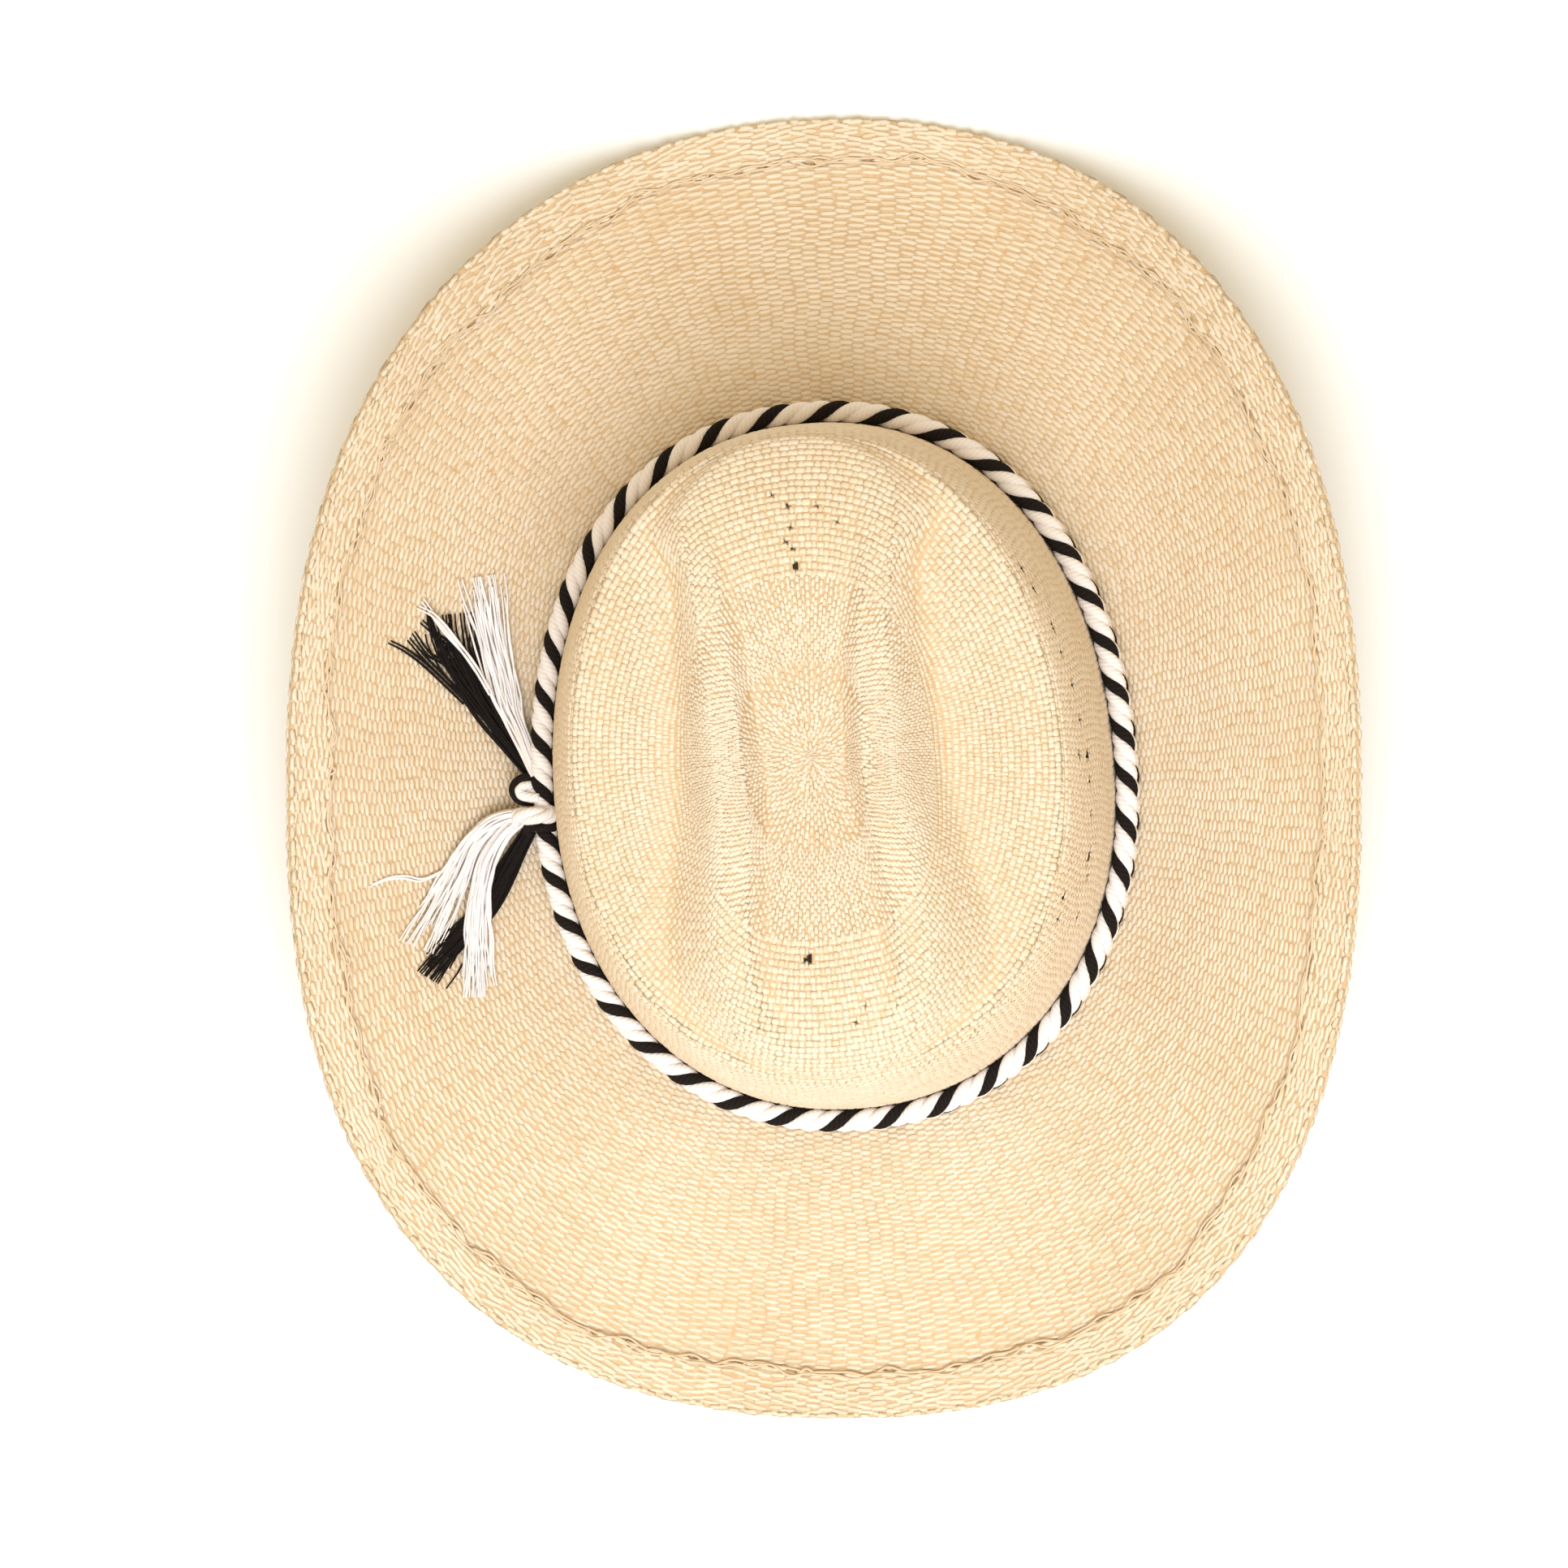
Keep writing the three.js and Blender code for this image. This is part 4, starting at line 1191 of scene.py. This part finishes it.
# Single threads that have come away from their bundle
STRAYS = {
    "tassel_front_black": (
        ((19.8, 30.5, 2.0), (27.1, 39.6, 1.0), (31.5, 45.1, 0.5), (35.7, 51.3, 0.4)),
        ((21.5, 31.3, 2.0), (31.1, 42.6, 0.8), (36.5, 47.8, 0.5), (40.9, 50.7, 0.4)),
        ((17.7, 37.4, 2.0), (24.1, 48.2, 1.0), (28.5, 52.8, 0.6), (31.8, 56.4, 0.4)),
        ((19.0, 33.0, 2.2), (25.8, 43.0, 1.2), (30.4, 46.5, 0.5), (34.2, 53.2, 0.4)),
        ((20.6, 39.0, 2.0), (26.0, 47.0, 1.2), (29.4, 55.0, 0.6), (29.6, 61.0, 0.4)),
    ),
    "tassel_front_white": (
        ((13.8, 33.6, 4.2), (18.8, 44.4, 5.4), (25.3, 53.5, 4.4), (30.9, 62.9, 0.8)),
        ((14.2, 35.2, 4.2), (20.5, 47.1, 5.4), (27.0, 57.1, 4.0), (32.3, 60.8, 0.8)),
    ),
    "tassel_back_white_outer": (
        (
            (30.1, -19.0, 2.0),
            (36.6, -21.5, 0.8),
            (41.3, -20.3, 0.5),
            (45.9, -20.4, 0.5),
            (50.7, -22.1, 0.4),
        ),
    ),
}
# Points along a thread, its length as a share of its bundle's, and how far it waves and how much
# it kinks from point to point in mm
THREAD_STEPS = 22
THREAD_LENGTHS = (0.86, 1.03)
THREAD_WAVE = 0.6
THREAD_KINK = 0.2
# A thread's tip as a share of its radius, and its sides
THREAD_FORM = (0.6, 4)
# Strays come in pairs, this far apart in mm
STRAY_SHIFT = 0.7


def fringe_runs(name, settings):
    """Thread paths of one fringed end, packed at its root and loose at its tip."""
    noise = np.random.default_rng(sum(map(ord, name)))
    path = smooth_path(FRINGES[name], THREAD_STEPS)
    ahead = Surface.unit(np.gradient(path[:, :2], axis=0))
    beside = np.stack([-ahead[:, 1], ahead[:, 0]], -1)
    share = np.linspace(0, 1, THREAD_STEPS)
    radius = settings.thread / MM / 2
    runs = []
    for _ in range(settings.threads):
        away, turn = math.sqrt(noise.random()), noise.uniform(0, 2 * math.pi)
        aside, above = away * math.cos(turn), away * math.sin(turn)
        length = noise.uniform(*THREAD_LENGTHS)
        wave = THREAD_WAVE * np.sin(share * noise.uniform(9, 20) + noise.uniform(0, 6)) * share
        kink = np.cumsum(noise.normal(0, THREAD_KINK, THREAD_STEPS)) * share**2
        offset = path[:, 3] * aside + wave + kink
        flat = path[:, :2] + beside * offset[:, None]
        tall = path[:, 3].clip(max=2.0) * (1 - 0.55 * share)
        height = path[:, 2] + radius + tall * (1 + above) * (1 - 0.35 * share)
        run = over_brim(np.c_[flat, height])
        kept = smooth_path(run, 4 * THREAD_STEPS)[: max(round(4 * THREAD_STEPS * length), 8)]
        runs.append(kept[:: max(len(kept) // THREAD_STEPS, 1)])
    for stray in STRAYS.get(name, ()):
        for shift in (0.0, STRAY_SHIFT):
            points = np.array(stray) + (shift, -shift, 0)
            runs.append(over_brim(smooth_path(points, THREAD_STEPS)))
    return runs


# Materials


def new_material(name):
    """Material without nodes, and its node tree."""
    finish = bpy.data.materials.new(name)
    finish.use_nodes = True
    tree = finish.node_tree
    tree.nodes.clear()
    return finish, tree


def finish_with(tree, values):
    """Ends a material's tree in a plain shader with these inputs."""
    shader = add_node(tree, "ShaderNodeBsdfPrincipled", values)
    add_node(tree, "ShaderNodeOutputMaterial", {"Surface": shader.outputs[0]})


def ramp_between(tree, factor, stops):
    """Colour ramp over a factor. stops holds pairs of place and linear colour."""
    node = add_node(tree, "ShaderNodeValToRGB", {"Fac": factor})
    steps = node.color_ramp.elements
    while len(steps) < len(stops):
        steps.new(0.5)
    for step, (at, colour) in zip(steps, stops):
        step.position = at
        step.color = (*colour[:3], 1)
    return node.outputs[0]


def noise_over(tree, size, detail):
    """Noise with features of about this size in metres."""
    place = add_node(tree, "ShaderNodeTexCoord").outputs["Object"]
    values = {"Vector": place, "Scale": 1 / size, "Detail": detail}
    return add_node(tree, "ShaderNodeTexNoise", values).outputs["Fac"]


def bump_from(tree, height, strength, distance):
    values = {"Height": height, "Strength": strength, "Distance": distance}
    return add_node(tree, "ShaderNodeBump", values).outputs[0]


def darker(colour, share):
    return [c * share for c in colour[:3]]


def straw_material(name, settings):
    """Twisted paper straw: matt, fibrous and a little patchy, each straw in its own shade."""
    finish, tree = new_material(name)
    tone = add_node(tree, "ShaderNodeAttribute", attribute_name="tone").outputs["Fac"]
    fibres = noise_over(tree, 0.0006, 1.0)
    drift = maths(tree, "MULTIPLY_ADD", noise_over(tree, 0.045, 2.0), 0.5, -0.25)
    spread = maths(tree, "MULTIPLY_ADD", tone, 0.62, 0.19)
    streak = maths(tree, "MULTIPLY_ADD", fibres, 0.3, -0.15)
    shade = maths(tree, "ADD", maths(tree, "ADD", spread, drift), streak)
    stops = ((0.1, settings.shade), (0.5, settings.middle), (0.9, settings.light))
    values = {
        "Base Color": ramp_between(tree, shade, stops),
        "Roughness": 0.62,
        "IOR": 1.45,
        "Specular IOR Level": 0.35,
        "Normal": bump_from(tree, fibres, 0.5, 0.0002),
    }
    finish_with(tree, values)
    return finish


def inner_straw_material(settings):
    """Straw sheet seen from inside the crown: a plain weave in bump, a crossing to each cell."""
    finish, tree = new_material("Paper straw, woven sheet")
    uv = add_node(tree, "ShaderNodeUVMap", uv_map="weave").outputs[0]
    checks = add_node(tree, "ShaderNodeTexChecker", {"Vector": uv, "Scale": 1.0}).outputs["Fac"]
    axes = add_node(tree, "ShaderNodeSeparateXYZ", {0: uv})
    waves = []
    for axis in (0, 1):
        wave = maths(tree, "SINE", maths(tree, "MULTIPLY", axes.outputs[axis], math.pi))
        waves.append(maths(tree, "ABSOLUTE", wave))
    pillow = maths(tree, "MULTIPLY", *waves)
    mixed = maths(tree, "MULTIPLY_ADD", checks, 0.25, noise_over(tree, 0.01, 3.0))
    stops = ((0.3, settings.gap), (0.6, settings.shade), (0.9, settings.middle))
    values = {
        "Base Color": ramp_between(tree, mixed, stops),
        "Roughness": 0.75,
        "Specular IOR Level": 0.25,
        "Normal": bump_from(tree, pillow, 0.8, 0.0007),
    }
    finish_with(tree, values)
    return finish


def backing_material(settings):
    """Straw deep between the floats, painted darker and browner: painted shade where little light comes
    back out.
    """
    finish, tree = new_material("Paper straw, between the floats")
    stops = ((0.35, settings.gap), (0.7, settings.shade))
    colour = ramp_between(tree, noise_over(tree, 0.002, 2.0), stops)
    finish_with(tree, {"Base Color": colour, "Roughness": 0.85, "Specular IOR Level": 0.2})
    return finish


def deep_gap_material(settings):
    """Straw at the sides of a small gap, painted nearly black: painted shade, as the light falls
    through to the inside.
    """
    finish, tree = new_material("Paper straw, deep in a gap")
    finish_with(tree, {"Base Color": (*darker(settings.gap, 0.12), 1), "Roughness": 0.9})
    return finish


# Length along a strand of the cord that one ply takes, in mm, and plies side by side round it
PLY_LENGTH = 1.7
PLIES = 5


def cotton_cord_material(name, colour, dark):
    """Spun cotton yarn: soft, dull ridges that wind round each strand, with painted shade in the
    grooves between them and a little fuzz.
    """
    finish, tree = new_material(name)
    uv = add_node(tree, "ShaderNodeUVMap", uv_map="weave").outputs[0]
    lay = (2 * math.pi / PLY_LENGTH, 2 * math.pi * PLIES, 0)
    phase = add_node(tree, "ShaderNodeVectorMath", {0: uv, 1: lay}, operation="DOT_PRODUCT")
    ply = maths(tree, "SINE", phase.outputs["Value"])
    height = maths(tree, "MULTIPLY_ADD", noise_over(tree, 0.0005, 2.0), 0.8, ply)
    tone = add_node(tree, "ShaderNodeMapRange", {"Value": height, 1: -0.8, 2: 1.6, 3: 0.0, 4: 1.0})
    # Where the yarn lies low, in the grooves between plies, it takes the darker colour: painted shade,
    # with some random unevenness from the fuzz
    stops = ((0.0, darker(colour, dark)), (0.6, colour))
    values = {
        "Base Color": ramp_between(tree, tone.outputs[0], stops),
        "Roughness": 0.9,
        "Specular IOR Level": 0.2,
        "Sheen Weight": 0.25 * max(colour),
        "Sheen Roughness": 0.5,
        "Normal": bump_from(tree, height, 0.35, 0.0002),
    }
    finish_with(tree, values)
    return finish


def thread_material(name, colour, dark):
    """Loose cotton threads: dull, a little uneven in shade along their length."""
    finish, tree = new_material(name)
    stops = ((0.3, darker(colour, dark)), (0.6, colour))
    values = {
        "Base Color": ramp_between(tree, noise_over(tree, 0.0012, 2.0), stops),
        "Roughness": 0.9,
        "Specular IOR Level": 0.2,
        "Sheen Weight": 0.2 * max(colour),
        "Sheen Roughness": 0.5,
    }
    finish_with(tree, values)
    return finish


def named_material(name, build, *values):
    return bpy.data.materials.get(name) or build(name, *values)


def straw(settings):
    return named_material("Twisted paper straw", straw_material, settings)


def cord_cotton(settings):
    """Materials of the cord's white and black strands."""
    # The last number is how dark the painted shade in the grooves between the plies gets
    white = named_material("Spun cotton, white", cotton_cord_material, settings.white, 0.92)
    black = named_material("Spun cotton, black", cotton_cord_material, settings.black, 0.5)
    return white, black


def thread_cotton(settings, name):
    if "black" in name:
        return named_material("Black cotton threads", thread_material, settings.black, 0.6)
    return named_material("White cotton threads", thread_material, settings.white, 0.97)


# Settings


def colour_setting(name, description, code):
    return FloatVectorProperty(
        name=name,
        description=description,
        default=linear(code),
        size=3,
        subtype="COLOR",
    )


class HatWeave(bpy.types.PropertyGroup):
    """Sizes and colours of the straw."""

    spokes: IntProperty(
        name="Spokes",
        description="Straws that run from the crown's middle to the brim's edge",
        default=240,
        min=60,
    )
    float_height: FloatProperty(
        name="Float height",
        description="How far a straw stands up where it passes over another",
        default=0.0006,
        precision=5,
        unit="LENGTH",
    )
    twist: FloatProperty(
        name="Twist",
        description="How far a float may lie askew",
        default=math.radians(6),
        subtype="ANGLE",
    )
    unevenness: FloatProperty(
        name="Unevenness",
        description="Share by which the floats' sizes vary",
        default=0.12,
        subtype="FACTOR",
    )
    seed: IntProperty(name="Seed", description="Seed of the weave's irregularities", default=7)
    light: colour_setting("Light straw", "Colour of the palest straws", "#E9DDCD")
    middle: colour_setting("Straw", "Colour of most straws", "#E1D2BE")
    shade: colour_setting("Dark straw", "Colour of the darkest straws", "#D8C2A4")
    # Between straws is painted shade deep between the floats; inside the crown it is also the darkest
    # tone of the weave
    gap: colour_setting("Between straws", "Colour deep between the floats", "#CCAD87")


class HatCord(bpy.types.PropertyGroup):
    """Sizes and colours of the twisted cord and its fringed ends."""

    lays: IntProperty(
        name="Lays",
        description="Times that each strand winds round in one turn of the cord round the hat",
        default=40,
        min=8,
    )
    thread: FloatProperty(
        name="Thread",
        description="Diameter of a thread in the fringed ends",
        default=0.00078,
        precision=5,
        unit="LENGTH",
    )
    threads: IntProperty(
        name="Threads",
        description="Threads in each fringed end",
        default=34,
        min=8,
    )
    white: colour_setting("White cotton", "Colour of the white yarn", "#F4F0F3")
    black: colour_setting("Black cotton", "Colour of the black yarn", "#1D1716")


class HatStage(bpy.types.PropertyGroup):
    """Floor, light and camera."""

    floor: colour_setting("Floor", "Colour of the floor", "#F4F8FF")
    sky: FloatProperty(
        name="Sky",
        description="Strength of the even light from all round",
        default=0.86,
    )
    fill: colour_setting("Sky colour", "Colour of the light from all round", "#FFE9C0")
    lamp: FloatProperty(
        name="Lamp",
        description="Power of the large soft lamp behind the hat",
        default=23.5,
        unit="POWER",
    )
    lean: FloatProperty(
        name="Camera lean",
        description="How far the camera leans from straight above towards the wearer's right",
        default=math.radians(4.2),
        subtype="ANGLE",
    )


# Operators

# Camera: the place that it looks at and its distance from there, in metres, and its lens in mm
AIM = Vector((0.0137, 0.0048, 0.030))
CAMERA_DISTANCE = 1.6
LENS = 120.95
# Soft lamp: its place, the place that it shines at, its size in metres and its colour
LAMP_PLACE = Vector((-0.12, 0.62, 1.5))
LAMP_AIM = Vector((0, 0, 0.06))
LAMP_SIZE = 1.0
LAMP_COLOUR = "#EFF8FF"
# Half of the floor's side in metres
FLOOR_HALF = 4.0


class HAT_OT_stage(bpy.types.Operator):
    """Adds the camera, the floor, the lamp and the pale surroundings"""

    bl_idname = "hat.stage"
    bl_label = "Stage"

    def execute(self, context):
        settings = context.scene.hat_stage
        lean = settings.lean
        away = Vector((-math.sin(lean), 0, math.cos(lean)))
        right = Vector((-math.cos(lean), 0, -math.sin(lean)))
        up = Vector((0, -1, 0))
        turned = Matrix((right, up, away)).transposed().to_4x4()
        camera = bpy.data.objects.new("camera", bpy.data.cameras.new("camera"))
        camera.matrix_world = Matrix.Translation(AIM + away * CAMERA_DISTANCE) @ turned
        camera.data.lens = LENS
        camera.data.sensor_width = 36
        context.scene.collection.objects.link(camera)
        context.scene.camera = camera

        floor_mesh = bpy.data.meshes.new("floor")
        corners = [(x * FLOOR_HALF, y * FLOOR_HALF, 0) for x, y in ((-1, -1), (1, -1), (1, 1), (-1, 1))]
        floor_mesh.from_pydata(corners, [], [(0, 1, 2, 3)])
        floor = bpy.data.objects.new("floor", floor_mesh)
        context.scene.collection.objects.link(floor)
        paper, tree = new_material("Matt white paper")
        values = {"Base Color": (*settings.floor, 1), "Roughness": 0.9, "Specular IOR Level": 0.1}
        finish_with(tree, values)
        floor_mesh.materials.append(paper)

        lamp = bpy.data.lights.new("softbox", "AREA")
        lamp.shape = "DISK"
        lamp.size = LAMP_SIZE
        lamp.energy = settings.lamp
        lamp.color = linear(LAMP_COLOUR)
        box = bpy.data.objects.new("softbox", lamp)
        box.location = LAMP_PLACE
        box.rotation_euler = (LAMP_AIM - LAMP_PLACE).to_track_quat("-Z", "Y").to_euler()
        context.scene.collection.objects.link(box)

        world = bpy.data.worlds.new("white room")
        world.use_nodes = True
        surroundings = world.node_tree.nodes["Background"].inputs
        surroundings["Color"].default_value = (*settings.fill, 1)
        surroundings["Strength"].default_value = settings.sky
        context.scene.world = world
        context.scene.view_settings.view_transform = "Standard"
        return {"FINISHED"}


@functools.lru_cache(maxsize=1)
def hat_surface():
    return Surface()


def weave_piece(name, form, step, settings, lay, loose=None):
    """Adds a piece made of floats. lay(floats) places them, and step gives the piece its own seed.

    form holds a float's corner and crest. loose is its twist and unevenness, where they aren't
    those of the settings.
    """
    seed = settings.seed + step
    floats = Floats(hat_surface(), np.random.default_rng(seed))
    lay(floats)
    twist, unevenness = loose or (settings.twist, settings.unevenness)
    mesh = floats.grow(name, grain(name, *form), seed, twist, unevenness, straw(settings))
    make_piece(name, mesh, ["woven_body"])


class HAT_OT_straw_sheet(bpy.types.Operator):
    """Adds the sheet of straw that lies under the floats of the weave"""

    bl_idname = "hat.straw_sheet"
    bl_label = "Straw sheet"

    def execute(self, context):
        settings = context.scene.hat_weave
        mesh = straw_sheet_mesh(hat_surface(), settings.spokes)
        # The first and third of these are painted shade: darker between the floats, nearly black in the
        # holes' walls
        builders = (backing_material, inner_straw_material, deep_gap_material)
        finishes = [build(settings) for build in builders]
        make_piece("straw_sheet", mesh, ["woven_body"], finishes)
        return {"FINISHED"}


class HAT_OT_crown_weave(bpy.types.Operator):
    """Weaves the crown: long floats round its middle and a plain weave from there on"""

    bl_idname = "hat.crown_weave"
    bl_label = "Crown weave"

    def execute(self, context):
        settings = context.scene.hat_weave

        def basket(floats):
            crown_basket(floats, settings.spokes)

        weave_piece("crown_middle_floats", (0.3, 0.2), 0, settings, crown_start)
        weave_piece("crown_floats", (0.32, 0.2), 1, settings, basket)
        return {"FINISHED"}


class HAT_OT_brim_weave(bpy.types.Operator):
    """Weaves the brim, above and below, in packed rings laid like bricks"""

    bl_idname = "hat.brim_weave"
    bl_label = "Brim weave"

    def execute(self, context):
        settings = context.scene.hat_weave
        form = (0.24, 0.2)

        def above(floats):
            brim_rows(floats, settings, under=False)

        def below(floats):
            brim_rows(floats, settings, under=True)

        weave_piece("brim_floats", form, 10, settings, above)
        weave_piece("brim_underside_floats", form, 11, settings, below)
        return {"FINISHED"}


class HAT_OT_hem(bpy.types.Operator):
    """Weaves the turned edge of the brim, with its fold and its raw inner edge"""

    bl_idname = "hat.hem"
    bl_label = "Hem"

    def execute(self, context):
        settings = context.scene.hat_weave

        def edge(floats):
            hem_floats(floats)
            fold_floats(floats, settings.spokes)

        weave_piece("hem_floats", (0.26, 0.2), 20, settings, edge, loose=HEM_LOOSE)
        runs = raw_edge_rows(hat_surface(), np.random.default_rng(settings.seed + 21))
        loose = spin("hem_raw_edge", runs, LOOSE_STRAW, 1.0, 5, straw(settings))
        make_piece("hem_raw_edge", loose, ["woven_body"])
        return {"FINISHED"}


class HAT_OT_band(bpy.types.Operator):
    """Lays the two turns of twisted cord round the foot of the crown"""

    bl_idname = "hat.band"
    bl_label = "Cord round the crown"

    def execute(self, context):
        settings = context.scene.hat_cord
        count = settings.lays * LAY_STEPS
        bearings = np.arange(count) * 2 * math.pi / count
        white, black = cord_cotton(settings)
        for layer, name in enumerate(("cord_lower", "cord_upper")):
            middle = cord_place(bearings, layer)
            phase = CORD_PHASES[layer]
            places, faces, uvs, strands = rope(middle, True, CORD, settings.lays, phase)
            mesh = mesh_from(name, places, faces, uvs, (strands == 2).astype(int))
            make_piece(name, mesh, ["band_" + name], (white, black))
        return {"FINISHED"}


class HAT_OT_knot(bpy.types.Operator):
    """Ties the cord: a small bight of its end and two strands that wrap over it"""

    bl_idname = "hat.knot"
    bl_label = "Knot"

    def execute(self, context):
        settings = context.scene.hat_cord
        white, black = cord_cotton(settings)
        bight = smooth_path(from_knot(BIGHT), BIGHT_STEPS)
        places, faces, uvs, strands = rope(bight, False, BIGHT_SIZE, *BIGHT_LAY)
        slots = (strands == 2).astype(int)
        for path, size, slot in ((WRAP, WRAP_SIZE, 0), (UNDER_WRAP, UNDER_WRAP_SIZE, 1)):
            run = smooth_path(from_knot(path), WRAP_STEPS)
            more = rope(run, False, size, *WRAP_LAY)
            faces += [[len(places) + v for v in face] for face in more[1]]
            places = np.concatenate([places, more[0]])
            uvs = np.concatenate([uvs, more[2]])
            slots = np.r_[slots, np.full(len(more[1]), slot)]
        mesh = mesh_from("knot", places, faces, uvs, slots)
        make_piece("knot", mesh, ["cord_knot"], (white, black))
        return {"FINISHED"}


class HAT_OT_fringes(bpy.types.Operator):
    """Spreads the cord's frayed ends over the brim"""

    bl_idname = "hat.fringes"
    bl_label = "Fringed ends"

    def execute(self, context):
        settings = context.scene.hat_cord
        for node in FRINGES:
            name = node.replace("tassel", "fringe")
            radius = settings.thread / MM / 2
            cotton = thread_cotton(settings, node)
            mesh = spin(name, fringe_runs(node, settings), radius, *THREAD_FORM, cotton)
            make_piece(name, mesh, [node])
        return {"FINISHED"}


class HAT_PT_maker(bpy.types.Panel):
    """Steps and settings of the woven hat"""

    bl_idname = "HAT_PT_maker"
    bl_label = "Woven Cowboy Hat"
    bl_space_type = "VIEW_3D"
    bl_region_type = "UI"
    bl_category = "Hat"

    def draw(self, context):
        layout = self.layout
        for step in STEPS:
            layout.operator(step.bl_idname)
        for group in SETTINGS:
            values = getattr(context.scene, group)
            layout.separator()
            for name in type(values).__annotations__:
                layout.prop(values, name)


STEPS = (
    HAT_OT_stage,
    HAT_OT_straw_sheet,
    HAT_OT_crown_weave,
    HAT_OT_brim_weave,
    HAT_OT_hem,
    HAT_OT_band,
    HAT_OT_knot,
    HAT_OT_fringes,
)
SETTINGS = {"hat_weave": HatWeave, "hat_cord": HatCord, "hat_stage": HatStage}


def register():
    for kind in (*SETTINGS.values(), *STEPS, HAT_PT_maker):
        bpy.utils.register_class(kind)
    for name, group in SETTINGS.items():
        setattr(bpy.types.Scene, name, PointerProperty(type=group))


def unregister():
    for name in SETTINGS:
        delattr(bpy.types.Scene, name)
    for kind in reversed((*SETTINGS.values(), *STEPS, HAT_PT_maker)):
        bpy.utils.unregister_class(kind)


def main():
    register()
    bpy.ops.hat.stage()
    bpy.ops.hat.band()
    bpy.ops.hat.knot()
    bpy.ops.hat.fringes()
    bpy.ops.hat.straw_sheet()
    bpy.ops.hat.crown_weave()
    bpy.ops.hat.brim_weave()
    bpy.ops.hat.hem()


if __name__ == "__main__":
    main()
